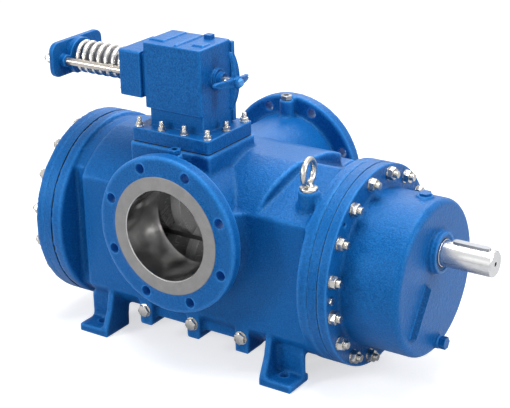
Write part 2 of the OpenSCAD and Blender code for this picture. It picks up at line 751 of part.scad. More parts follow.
// Slotted lock nut
module lock_nut(seat) difference() {
    tube(nut_r, seat + fit, nut_w);
    translate([0, 0, -eps]) around(nut_r, 4) translate([-4, -4, 0]) cube([10, 8, nut_w + 2 * eps]);
}

module rotor_nuts() color(dark_steel) {
    along_x(drive_nut_x) lock_nut(bearing_seat_r);
    mirror([1, 0, 0]) along_x(end_nut_x) lock_nut(end_seat_r);
}

module drive_lock_nuts() translate([0, 0, drive_z]) rotor_nuts();

module idler_lock_nuts() translate([0, 0, idler_z]) rotor_nuts();

// Relief valve
module valve_body() color(blue) difference() {
    union() {
        translate([pad_mid_x, pad_mid_y, flange_z]) linear_extrude(pad_flange_t)
            polygon(round_rect(pad_x, pad_y, 6));
        translate([(valve_left + valve_right) / 2, valve_mid_y, flange_top - eps]) linear_extrude(valve_neck + 2 * eps)
            polygon(round_rect(valve_x - 14, valve_y - 10, 6));
        translate([(valve_left + valve_right) / 2, valve_mid_y, box_z]) linear_extrude(valve_z)
            polygon(round_rect(valve_x, valve_y, 5));
        along_x(valve_left - bonnet_neck, valve_mid_y, spring_z) linear_extrude(bonnet_neck + eps)
            polygon(round_rect(2 * bonnet_half_y - 16, 2 * bonnet_half_z - 8, 5));
        along_x(valve_right - eps, valve_mid_y, spring_z) cylinder(r = gland_r + 3, h = 5 + eps);
        // Raised strips on top
        translate([valve_left + 3, valve_mid_y - 34, box_top - eps]) cube([38, 80, 4 + eps]);
        translate([valve_left + 78, valve_mid_y - 50, box_top - eps]) cube([8, 90, 4 + eps]);
        translate([valve_right - 2, valve_mid_y + valve_y / 2 - 4, flange_top + 4]) cube([8, 10, box_top - flange_top - 8]);
    }
    along_x(valve_left - bonnet_neck - eps, valve_mid_y, spring_z)
        cylinder(r = chamber_r, h = seat_x - valve_left + bonnet_neck + eps);
    along_x(seat_x - eps, valve_mid_y, spring_z) cylinder(r = seat_out_r + fit, h = 30);
    along_x(seat_x + seat_t, valve_mid_y, spring_z)
        cylinder(r = chamber_r, h = valve_right - 18 - seat_x - seat_t);
    along_x(seat_x, valve_mid_y, spring_z) cylinder(r = spindle_r + run, h = 200);
    along_x(valve_right - 12, valve_mid_y, spring_z) cylinder(r = gland_r - 6 + fit, h = 60);
    valve_passages() cylinder(r = passage_r, h = spring_z - axis_h - 120);
    valve_stud_places() translate([0, 0, flange_z - eps]) cylinder(r = 5 + fit, h = pad_flange_t + 2 * eps);
    translate([plug_x, plug_y, box_top - 14]) cylinder(r = 7 + fit, h = 30);
}
plug_x = valve_left + 105;
plug_y = valve_mid_y + 36;

module valve_gasket() color(black) difference() {
    translate([pad_mid_x, pad_mid_y, pad_z]) linear_extrude(valve_gasket_t)
        polygon(round_rect(pad_x - 2, pad_y - 2, 5));
    valve_passages() cylinder(r = passage_r, h = 400);
    valve_stud_places() cylinder(r = 5 + fit, h = 2 * pad_z);
}

module valve_studs() color(steel) valve_stud_places() translate([0, 0, flange_top])
    stud(5, pad_flange_t + valve_gasket_t + 18, 20);

module valve_top_plug() color(blue) translate([plug_x, plug_y, box_top]) {
    translate([0, 0, -12]) cylinder(r = 7, h = 13);
    translate([-8, -8, 0]) cube([16, 16, 9]);
}

module valve_seat_ring() color(bronze) along_x(seat_x, valve_mid_y, spring_z) tube(seat_out_r, seat_in_r, seat_t);

module spring_bonnet() color(blue) difference() {
    along_x(bonnet_left, valve_mid_y, spring_z) linear_extrude(bonnet_len)
        polygon(round_rect(2 * bonnet_half_y, 2 * bonnet_half_z, 5));
    along_x(bonnet_left + 20, valve_mid_y, spring_z) cylinder(r = chamber_r - 8, h = bonnet_len);
    along_x(bonnet_left - eps, valve_mid_y, spring_z) cylinder(r = stem_r + run, h = bonnet_len);
    for (s = [-1, 1]) along_x(bonnet_left - eps, valve_mid_y + s * rod_y, spring_z)
        cylinder(r = rod_r - 2 + fit, h = rod_root + 2 + eps);
    bonnet_bolt_places() translate([0, 0, -eps]) cylinder(r = 5 + fit, h = bonnet_len + 2 * eps);
}

module bonnet_bolt_places() for (sy = [-1, 1], sz = [-1, 1])
    along_x(bonnet_left, valve_mid_y + sy * (bonnet_half_y - 16), spring_z + sz * (bonnet_half_z - 14)) children();

module bonnet_bolts() color(steel) bonnet_bolt_places() {
    translate([0, 0, -2]) cylinder(r = 5, h = bonnet_len + 2);
    translate([0, 0, -8]) nut(5, 8);
}

module tie_rods() color(steel) for (s = [-1, 1]) translate([0, valve_mid_y + s * rod_y, spring_z]) {
    along_x(plate_right) cylinder(r = rod_r, h = bonnet_left - plate_right);
    along_x(plate_left - rod_tail) cylinder(r = rod_r - 2, h = bonnet_left - plate_left + rod_tail + rod_root);
}
rod_tail = 38;
rod_root = 14;

module tie_rod_nuts() color(steel) for (s = [-1, 1])
    along_x(plate_left - 2 * rod_nut_t, valve_mid_y + s * rod_y, spring_z) difference() {
        union() {
            rotate(14) nut(rod_r - 1, rod_nut_t + eps);
            translate([0, 0, rod_nut_t]) nut(rod_r - 1, rod_nut_t);
        }
        translate([0, 0, -eps]) cylinder(r = rod_r - 2 + fit, h = 2 * rod_nut_t + 2 * eps);
    }
rod_nut_t = 14;

module plate_outline() translate([0, plate_shift]) polygon(round_rect(2 * plate_half_y, 2 * plate_half_z, 20, 5));

module spring_end_plate() color(blue) difference() {
    union() {
        along_x(plate_left, valve_mid_y, spring_z) linear_extrude(plate_t) plate_outline();
        // Raised seats of the spring and the tie rods
        along_x(plate_left + plate_t - eps, valve_mid_y, spring_z) linear_extrude(plate_boss + eps) intersection() {
            union() {
                circle(r = spring_r + 4);
                for (s = [-1, 1]) translate([s * rod_y, 0]) circle(r = rod_r + 5);
            }
            plate_outline();
        }
    }
    for (s = [-1, 1]) along_x(plate_left - eps, valve_mid_y + s * rod_y, spring_z)
        cylinder(r = rod_r - 2 + fit, h = plate_t + plate_boss + 2 * eps);
    along_x(plate_left - eps, valve_mid_y, spring_z) cylinder(r = stem_r + 1, h = plate_t + plate_boss + 2 * eps);
}

// Spring of round wire, swept as one closed strip of rings
ring_steps = 16;
wire_sides = 8;
function coil_point(i, n) =
    let (turn = i * 360 / ring_steps, mean = spring_r - wire_r,
        x = wire_r + (spring_len - 2 * wire_r) * i / n)
    [for (j = [0 : wire_sides - 1]) let (a = j * 360 / wire_sides)
        [x + wire_r * sin(a), (mean + wire_r * cos(a)) * cos(turn), (mean + wire_r * cos(a)) * sin(turn)]];
module relief_spring() {
    n = round(spring_coils * ring_steps);
    rings = [for (i = [0 : n]) each coil_point(i, n)];
    sides = [for (i = [0 : n - 1], j = [0 : wire_sides - 1])
        let (a = i * wire_sides + j, b = i * wire_sides + (j + 1) % wire_sides)
        [a, b, b + wire_sides, a + wire_sides]];
    start = [for (j = [wire_sides - 1 : -1 : 0]) j];
    last = [for (j = [0 : wire_sides - 1]) n * wire_sides + j];
    color(steel) translate([spring_x, valve_mid_y, spring_z]) polyhedron(rings, concat(sides, [start], [last]));
}

stem_left = plate_left - 6;
disc_x = seat_x - disc_t;
module relief_stem() color(steel) along_x(stem_left, valve_mid_y, spring_z)
    cylinder(r = stem_r, h = disc_x - stem_left);

module relief_disc() color(bronze) along_x(disc_x, valve_mid_y, spring_z) cylinder(r = disc_r, h = disc_t);

// Plate that the spring pushes on, with the guide inside the spring
module spring_plate() color(dark_steel) along_x(spring_plate_x, valve_mid_y, spring_z) difference() {
    union() {
        cylinder(r = spring_r - 2, h = spring_plate_t);
        translate([0, 0, -guide_len]) cylinder(r = spring_r - 2 * wire_r - 2, h = guide_len + eps);
    }
    translate([0, 0, -guide_len - eps]) cylinder(r = stem_r + fit, h = guide_len + spring_plate_t + 2 * eps);
}

module gland() color(blue) along_x(valve_right - 12 + packing_w, valve_mid_y, spring_z) difference() {
    union() {
        cylinder(r = gland_r - 6, h = 20);
        translate([0, 0, 12 - packing_w + 5]) cylinder(r = gland_r, h = 17, $fn = 6);
    }
    translate([0, 0, -eps]) cylinder(r = spindle_r + run, h = 60);
}
packing_w = 6;

module gland_packing() color(black) along_x(valve_right - 12, valve_mid_y, spring_z)
    tube(gland_r - 6, spindle_r + run, packing_w);

tip_w = 8;
tip_x = seat_x + near + spindle_travel;
spindle_end = valve_right + 62;
module lifting_spindle() color(steel) along_x(tip_x + tip_w, valve_mid_y, spring_z)
    cylinder(r = spindle_r, h = spindle_end - tip_x - tip_w);

module spindle_tip() color(bronze) along_x(tip_x, valve_mid_y, spring_z) cylinder(r = 14, h = tip_w);

wheel_dish = 11;
hub_x = valve_right + 31 + spindle_travel;
module handwheel() color(blue) along_x(hub_x, valve_mid_y, spring_z) difference() {
    union() {
        cylinder(r = 13, h = 16);
        // Four dished arms
        around(0, 4, -4) hull() {
            translate([4, -8, 3]) cube([6, 16, 10]);
            translate([wheel_r - 5, 0, 3 - wheel_dish]) cylinder(r = 4.5, h = 8, $fn = 24);
        }
    }
    translate([0, 0, -eps]) cylinder(r = spindle_r + fit, h = 40);
}

module handwheel_nut() color(steel) along_x(hub_x + 16, valve_mid_y, spring_z) difference() {
    nut(7, 9);
    translate([0, 0, -eps]) cylinder(r = spindle_r + fit, h = 12);
}

pump_casing();
screw_liner();
drive_end_bracket();
non_drive_end_bracket();
gear_case_cover();
non_drive_end_cover();
drive_end_gaskets();
non_drive_end_gaskets();
drive_end_studs();
non_drive_end_studs();
jack_screw();
eye_bolt();
port_plugs();
lug_bolts();
drain_plug();
filler_plug();
shaft_lip_seal();
seal_seats();
bearing_outer_rings();
drive_end_clamp_plate();
non_drive_end_clamp_plate();
drive_shaft();
drive_screw_left();
drive_screw_right();
drive_gear();
drive_gear_key();
drive_bearing_rings();
drive_seal_rings();
drive_lock_nuts();
coupling_key();
idler_shaft();
idler_screw_left();
idler_screw_right();
idler_gear();
idler_gear_key();
idler_bearing_rings();
idler_seal_rings();
idler_lock_nuts();
valve_body();
valve_gasket();
valve_studs();
valve_top_plug();
valve_seat_ring();
spring_bonnet();
bonnet_bolts();
tie_rods();
tie_rod_nuts();
spring_end_plate();
relief_spring();
relief_stem();
relief_disc();
spring_plate();
gland();
gland_packing();
lifting_spindle();
spindle_tip();
handwheel();
handwheel_nut();
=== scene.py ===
"""Looks of a twin screw pump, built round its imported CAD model.

Everything is in the frame of the CAD model: X runs along the shafts towards the coupling end, Y towards
the rear and Z up from the soles of the feet. Sizes are in millimetres and become metres in a finished mesh.
"""

import logging
import math
from collections.abc import Callable, Iterable, Sequence
from dataclasses import dataclass
from enum import Enum
from functools import cached_property

import bmesh
import bpy
from bpy.types import ColorRamp, Material, Mesh, Node, NodeSocket, Object, World
from mathutils import Matrix, Vector


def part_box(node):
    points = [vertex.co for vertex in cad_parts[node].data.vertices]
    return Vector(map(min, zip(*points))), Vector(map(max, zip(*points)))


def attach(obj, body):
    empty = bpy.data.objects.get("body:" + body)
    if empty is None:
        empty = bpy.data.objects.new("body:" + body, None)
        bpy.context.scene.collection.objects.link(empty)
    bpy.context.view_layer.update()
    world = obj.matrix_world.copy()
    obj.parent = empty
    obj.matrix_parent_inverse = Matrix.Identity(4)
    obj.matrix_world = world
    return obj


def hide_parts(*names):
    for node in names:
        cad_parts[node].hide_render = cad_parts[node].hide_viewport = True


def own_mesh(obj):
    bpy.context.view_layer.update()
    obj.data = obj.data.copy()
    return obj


LOG = logging.getLogger("pump")
MM = 0.001
WELD_MM = 1e-4
CAD_WELD_M = 1e-6
FULL_TURN = 2 * math.pi
Point = tuple[float, float]
Spot = tuple[float, float, float]
Colour = tuple[float, float, float]
Inputs = dict[str | int, object]


class Body(Enum):
    """The CAD bodies that pieces ride on."""

    PUMP = "pump"
    DRIVE = "drive_rotor"
    IDLER = "idler_rotor"
    RELIEF = "relief_rod"
    WHEEL = "lifting_handwheel"


class Heading(Enum):
    """Where the working axis of a turned or extruded piece points; the value holds its matrix columns."""

    UP = ((1, 0, 0), (0, 1, 0), (0, 0, 1))
    RIGHT = ((0, 1, 0), (0, 0, 1), (1, 0, 0))
    LEFT = ((0, -1, 0), (0, 0, 1), (-1, 0, 0))
    FRONT = ((1, 0, 0), (0, 0, 1), (0, -1, 0))
    REAR = ((-1, 0, 0), (0, 0, 1), (0, 1, 0))

    def at(self, x: float, y: float, z: float) -> Matrix:
        """Places the working axis.

        Args:
            x: Where it starts, along X.
            y: The same along Y.
            z: The same along Z.

        Returns:
            The placing matrix.
        """
        columns = [Vector(c) for c in self.value]
        turn = Matrix(columns).transposed().to_4x4()
        return Matrix.Translation((x, y, z)) @ turn


def arc(centre: Point, radius: float, start: float, end: float, steps: int) -> list[Point]:
    """Works out points on an arc.

    Args:
        centre: The arc's centre.
        radius: The arc's radius.
        start: First angle in degrees.
        end: Last angle in degrees.
        steps: How many chords the arc has.

    Returns:
        The points, both ends included.
    """
    angles = [math.radians(start + (end - start) * i / steps) for i in range(steps + 1)]
    return [(centre[0] + radius * math.cos(a), centre[1] + radius * math.sin(a)) for a in angles]


def polar(radius: float, degrees: float) -> Point:
    """Returns the point at a radius and an angle."""
    return radius * math.cos(math.radians(degrees)), radius * math.sin(math.radians(degrees))


def turned(degrees: float, axis: str = "Z") -> Matrix:
    """Returns a rotation about an axis of the origin."""
    return Matrix.Rotation(math.radians(degrees), 4, axis)


def linked(thing: Object) -> Object:
    """Returns an object after adding it to the scene."""
    bpy.context.scene.collection.objects.link(thing)
    return thing


# Shader maths


class Signal:
    """A number in a material that takes part in Python sums."""

    def __init__(self, desk: "NodeDesk", socket: NodeSocket) -> None:
        """Keeps the socket and the desk that adds nodes for it."""
        self.desk = desk
        self.socket = socket

    def __add__(self, other: "Signal | float") -> "Signal":
        """Returns the sum."""
        return self.desk.maths("ADD", self, other)

    def __sub__(self, other: "Signal | float") -> "Signal":
        """Returns the difference."""
        return self.desk.maths("SUBTRACT", self, other)

    def __rsub__(self, other: "Signal | float") -> "Signal":
        """Returns the difference, taken from the other value."""
        return self.desk.maths("SUBTRACT", other, self)

    def __mul__(self, other: "Signal | float") -> "Signal":
        """Returns the product."""
        return self.desk.maths("MULTIPLY", self, other)

    __radd__ = __add__
    __rmul__ = __mul__

    def clamped(self) -> "Signal":
        """Returns the value kept between 0 and 1."""
        return self.desk.maths("MINIMUM", self.desk.maths("MAXIMUM", self, 0.0), 1.0)


class NodeDesk:
    """Adds nodes to one material or world."""

    def __init__(self, owner: Material | World) -> None:
        """Keeps the tree, with the shader and the output that it starts with.

        Args:
            owner: A new material or world.
        """
        owner.use_nodes = True
        self.tree = owner.node_tree
        self.shader = next(n for n in self.tree.nodes if n.type in ("BSDF_PRINCIPLED", "BACKGROUND"))
        self.output = next(n for n in self.tree.nodes if n.type in ("OUTPUT_MATERIAL", "OUTPUT_WORLD"))

    @cached_property
    def place(self) -> NodeSocket:
        """The object coordinates."""
        return self.node("ShaderNodeTexCoord").outputs["Object"]

    def node(
        self, kind: str, settings: dict[str, object] | None = None, inputs: Inputs | None = None
    ) -> Node:
        """Adds a node.

        Args:
            kind: The node's Blender type.
            settings: Its attributes, or its ramp's stops under the name stops.
            inputs: Values, signals or sockets for its inputs.

        Returns:
            The new node.
        """
        made = self.tree.nodes.new(kind)
        for name, value in (settings or {}).items():
            if name == "stops":
                self._set_stops(made.color_ramp, value)
            else:
                setattr(made, name, value)
        for name, value in (inputs or {}).items():
            self.feed(made.inputs[name], value)
        return made

    @staticmethod
    def _set_stops(ramp: ColorRamp, stops: Sequence[tuple[float, float]]) -> None:
        """Gives a ramp its stops.

        Args:
            ramp: The ramp, new.
            stops: Pairs of place and grey value.
        """
        for i, (place, grey) in enumerate(stops):
            stop = ramp.elements[i] if i < len(ramp.elements) else ramp.elements.new(place)
            stop.position = place
            stop.color = (grey, grey, grey, 1)

    def feed(self, socket: NodeSocket, value: object) -> None:
        """Links or sets an input.

        Args:
            socket: The input.
            value: A signal or socket to link, or a value.
        """
        if isinstance(value, Signal):
            value = value.socket
        if isinstance(value, NodeSocket):
            self.tree.links.new(value, socket)
        elif isinstance(value, tuple) and len(value) == 3 and socket.type == "RGBA":
            socket.default_value = (*value, 1)
        else:
            socket.default_value = value

    def maths(self, operation: str, first: Signal | float, second: Signal | float) -> Signal:
        """Returns the result of a sum on two values."""
        made = self.node("ShaderNodeMath", {"operation": operation}, {0: first, 1: second})
        return Signal(self, made.outputs[0])

    def mapped(self, scale: Spot, origin: Spot = (0, 0, 0)) -> NodeSocket:
        """Moves and scales the object coordinates.

        Args:
            scale: Factors along the three axes.
            origin: Where the new coordinates start, in millimetres.

        Returns:
            The new coordinates.
        """
        start = tuple(v * MM for v in origin)
        moved = self.node("ShaderNodeVectorMath", {"operation": "SUBTRACT"}, {0: self.place, 1: start})
        made = self.node("ShaderNodeMapping", {}, {"Vector": moved.outputs[0], "Scale": scale})
        return made.outputs[0]

    def noise(self, scale: float, detail: float = 3, rough: float = 0.5, where: object = None) -> Signal:
        """Adds a noise.

        Args:
            scale: Cells a metre.
            detail: Octaves of finer noise.
            rough: Share of each finer octave.
            where: Coordinates other than the object's.

        Returns:
            A value from about 0 to 1.
        """
        inputs = {"Vector": where or self.place, "Scale": scale, "Detail": detail, "Roughness": rough}
        made = self.node("ShaderNodeTexNoise", {}, inputs)
        return Signal(self, made.outputs["Fac"])

    def ramp(self, value: Signal, stops: Sequence[tuple[float, float]]) -> Signal:
        """Returns a value taken through a ramp of grey stops."""
        made = self.node("ShaderNodeValToRGB", {"stops": stops}, {"Fac": value})
        return Signal(self, made.outputs["Color"])

    def blend(self, factor: Signal, first: object, second: object) -> NodeSocket:
        """Returns the mix of two colours."""
        made = self.node("ShaderNodeMix", {"data_type": "RGBA"}, {0: factor, 6: first, 7: second})
        return made.outputs[2]

    def rounded(self, radius_mm: float) -> NodeSocket:
        """Returns the surface normal with the edges of the mesh rounded off."""
        made = self.node("ShaderNodeBevel", {"samples": 4}, {"Radius": radius_mm * MM})
        return made.outputs[0]

    def edges(self, radius_mm: float) -> Signal:
        """Finds the edges of the mesh.

        Args:
            radius_mm: How far from an edge it still counts.

        Returns:
            1 on edges and 0 on open faces.
        """
        soft = self.rounded(radius_mm)
        hard = self.node("ShaderNodeNewGeometry").outputs["Normal"]
        dot = self.node("ShaderNodeVectorMath", {"operation": "DOT_PRODUCT"}, {0: soft, 1: hard})
        return ((1 - Signal(self, dot.outputs["Value"])) * 6).clamped()

    def bump(
        self, height: Signal, distance_mm: float, strength: float, normal: NodeSocket | None = None
    ) -> None:
        """Gives the shader's normal a relief.

        Args:
            height: The relief, from 0 to 1.
            distance_mm: Its depth.
            strength: Its share in the normal.
            normal: A rounded normal that it goes on top of.
        """
        inputs: Inputs = {"Height": height, "Distance": distance_mm * MM, "Strength": strength}
        if normal is not None:
            inputs["Normal"] = normal
        made = self.node("ShaderNodeBump", {}, inputs)
        self.feed(self.shader.inputs["Normal"], made.outputs[0])

    def wear(self, values: dict[str, object]) -> None:
        """Sets or links inputs of the shader by name."""
        for name, value in values.items():
            self.feed(self.shader.inputs[name], value)

    def switch(self, factor: Signal, other: Node) -> None:
        """Shows another shader where a factor is 1."""
        inputs = {"Fac": factor, 1: self.shader.outputs[0], 2: other.outputs[0]}
        self.feed(self.output.inputs["Surface"], self.node("ShaderNodeMixShader", {}, inputs).outputs[0])


# Finishes


@dataclass(frozen=True)
class Finish:
    """A surface finish; its material is made once and shared."""

    name: str
    slot: str
    colour: Colour

    def material(self) -> Material:
        """Makes the finish's material when it is first asked for.

        Returns:
            The material.
        """
        made = bpy.data.materials.get(self.name)
        if made is None:
            made = bpy.data.materials.new(self.name)
            self.paint(NodeDesk(made))
        return made

    def paint(self, desk: NodeDesk) -> None:
        """Builds the nodes of the finish.

        Args:
            desk: Adds them to the material.
        """
        raise NotImplementedError


@dataclass(frozen=True)
class CastPaint(Finish):
    """Glossy enamel over a sand casting, with painted shade in the low spots of its grain and painted
    highlights on its edges and grain peaks.

    A moulded skin has soft edges in its mesh, which the curvature finds, and its hollows are painted darker
    as painted shade.
    """

    # The colour that painted shade and broad random mottling darken the enamel towards.
    shade_and_mottle_colour: Colour = (0.001, 0.034, 0.140)
    # The colour that painted highlights and broad random mottling lighten the enamel towards.
    highlight_and_mottle_colour: Colour = (0.030, 0.205, 0.560)
    edge_mm: float = 2.5
    relief_mm: float = 1.4
    moulded: bool = False

    def paint(self, desk: NodeDesk) -> None:
        """Builds the nodes of the finish.

        Args:
            desk: Adds them to the material.
        """
        broad = desk.noise(14, 3, 0.55)
        grain = desk.noise(330, 3, 0.62)
        skin = desk.noise(120, 2, 0.5)
        # The grain is painted darker where its relief is low, as painted shade, and lighter where it is high,
        # as a painted highlight.
        pit_shade = desk.ramp(grain, ((0.32, 1), (0.52, 0)))
        crest_highlight = desk.ramp(grain, ((0.52, 0), (0.70, 1)))
        # shade sums the painted shade of the grain with broad random mottling.
        shade = pit_shade * 0.65 + broad * 0.12
        if self.moulded:
            # Convex curvature gets a painted edge highlight and concave curvature adds painted shade in
            # hollows and creases.
            bend = Signal(desk, desk.node("ShaderNodeNewGeometry").outputs["Pointiness"])
            edge = desk.ramp(bend, ((0.505, 0), (0.555, 1)))
            shade = shade + desk.ramp(bend, ((0.43, 1), (0.496, 0)))
        else:
            # Elsewhere the edges that the rounded normal finds get the painted highlight.
            edge = desk.edges(self.edge_mm)
        base = desk.blend(shade.clamped(), self.colour, self.shade_and_mottle_colour)
        # light sums painted highlights on edges and grain peaks with broad random mottling.
        light = edge * 0.85 + crest_highlight * 0.35 + (broad - 0.5) * 0.2
        desk.wear(
            {
                "Base Color": desk.blend(light.clamped(), base, self.highlight_and_mottle_colour),
                "Roughness": 0.25 + grain * 0.20 - edge * 0.06,
                "Specular IOR Level": 0.42,
                "Specular Tint": (0.16, 0.52, 1.0),
            }
        )
        desk.bump(grain * 0.8 + skin * 0.9, self.relief_mm, 0.8, desk.rounded(self.edge_mm))


@dataclass(frozen=True)
class Metal(Finish):
    """Bare metal: tool marks along one axis, smears, and rounded edges painted lighter as a painted
    highlight.
    """

    roughness: float = 0.3
    marks: Spot = (900, 900, 900)
    mark_mm: float = 0.02
    edge_mm: float = 0.5
    metallic: float = 1.0
    tarnish: float = 0.35

    def paint(self, desk: NodeDesk) -> None:
        """Builds the nodes of the finish.

        Args:
            desk: Adds them to the material.
        """
        marks = desk.noise(1, 2, 0.5, desk.mapped(self.marks))
        smear = desk.noise(45, 4, 0.6)
        dull = tuple(c * 0.55 for c in self.colour)
        # shine is a lighter copy of the colour, painted on the edges as a highlight.
        shine = tuple(min(1.0, c * 1.35) for c in self.colour)
        stain = desk.ramp(smear, ((0.35, 0), (0.75, 1)))
        base = desk.blend(stain * self.tarnish, self.colour, dull)
        desk.wear(
            {
                "Base Color": desk.blend(desk.edges(self.edge_mm + 0.6), base, shine),
                "Metallic": self.metallic,
                "Roughness": self.roughness + smear * 0.16 + marks * 0.12 - 0.10,
            }
        )
        desk.bump(marks, self.mark_mm, 0.5, desk.rounded(self.edge_mm))


@dataclass(frozen=True)
class RingFace(Finish):
    """A faced flange: fine concentric grooves about the port axis."""

    origin: Spot = (18, 0, 316)
    pitch_mm: float = 1.6
    roughness: float = 0.42

    def paint(self, desk: NodeDesk) -> None:
        """Builds the nodes of the finish.

        Args:
            desk: Adds them to the material.
        """
        flat = desk.mapped((1, 0, 1), self.origin)
        far = desk.node("ShaderNodeVectorMath", {"operation": "LENGTH"}, {0: flat})
        radius = Signal(desk, far.outputs["Value"])
        groove = desk.maths("SINE", radius * (FULL_TURN / (self.pitch_mm * MM)), 0.0)
        smear = desk.noise(60, 4, 0.6)
        dull = tuple(c * 0.72 for c in self.colour)
        desk.wear(
            {
                "Base Color": desk.blend(desk.ramp(smear, ((0.3, 0), (0.8, 1))) * 0.8, self.colour, dull),
                "Metallic": 0.55,
                "Roughness": self.roughness + groove * 0.05 + smear * 0.1,
            }
        )
        desk.bump(groove * 0.5 + smear, 0.12, 0.35, desk.rounded(0.8))


@dataclass(frozen=True)
class Dull(Finish):
    """A soft or fibrous material without shine."""

    roughness: float = 0.7

    def paint(self, desk: NodeDesk) -> None:
        """Builds the nodes of the finish.

        Args:
            desk: Adds them to the material.
        """
        weave = desk.noise(500, 3, 0.6)
        patch = desk.noise(30, 3, 0.5)
        dark = tuple(c * 0.5 for c in self.colour)
        base = desk.blend(patch, self.colour, dark)
        desk.wear({"Base Color": base, "Roughness": self.roughness + weave * 0.15})
        desk.bump(weave, 0.08, 0.5)


PAINT = CastPaint("blue_enamel", "blue_paint", (0.003, 0.100, 0.330))
# A lighter copy of the enamel, a painted highlight where light catches the end of the spindle.
HIGHLIGHT_PAINT = CastPaint("highlight_enamel", "blue_paint", (0.10, 0.34, 0.74))
# A darker copy of the enamel, painted on the flanks of the drum rib as shade.
SHADE_PAINT = CastPaint("shade_enamel", "blue_paint", (0.001, 0.040, 0.160))
MOULDED = CastPaint("cast_enamel", "blue_paint", (0.003, 0.100, 0.330), moulded=True)
ZINC = Metal("zinc_plate", "bright_steel", (0.60, 0.58, 0.54), roughness=0.22, tarnish=0.55)
SPRING_ZINC = Metal("spring_zinc", "bright_steel", (0.74, 0.73, 0.71), roughness=0.20, tarnish=0.35)
ROD = Metal(
    "rod_steel", "bright_steel", (0.56, 0.52, 0.47), roughness=0.22, marks=(120, 1500, 1500), tarnish=0.6
)
TURNED = Metal(
    "turned_steel", "bright_steel", (0.66, 0.66, 0.66),
    roughness=0.20, marks=(2600, 0, 0), mark_mm=0.01, metallic=0.95, tarnish=0.25,
)
BORE = Metal(
    "bored_steel", "machined_steel", (0.56, 0.555, 0.55),
    roughness=0.14, marks=(0, 1800, 0), mark_mm=0.02, metallic=0.97, tarnish=0.7,
)
BARE = Metal(
    "bare_casting", "machined_steel", (0.22, 0.215, 0.21),
    roughness=0.32, marks=(260, 260, 260), mark_mm=0.3, metallic=0.7,
)
GROUND = Metal(
    "ground_steel", "machined_steel", (0.92, 0.91, 0.90),
    roughness=0.22, marks=(1500, 0, 0), metallic=0.35, tarnish=0.3,
)
DARK = Metal("dark_steel", "dark_steel", (0.20, 0.19, 0.18), roughness=0.40, tarnish=0.6)
BRONZE = Metal("bronze", "bronze", (0.62, 0.40, 0.17), roughness=0.30)
FACED = RingFace("faced_flange", "machined_steel", (0.27, 0.265, 0.26))
RUBBER = Dull("rubber", "black_seal", (0.020, 0.020, 0.022), 0.55)
FIBRE = Dull("gasket_fibre", "black_seal", (0.018, 0.024, 0.036), 0.75)


# Mesh making


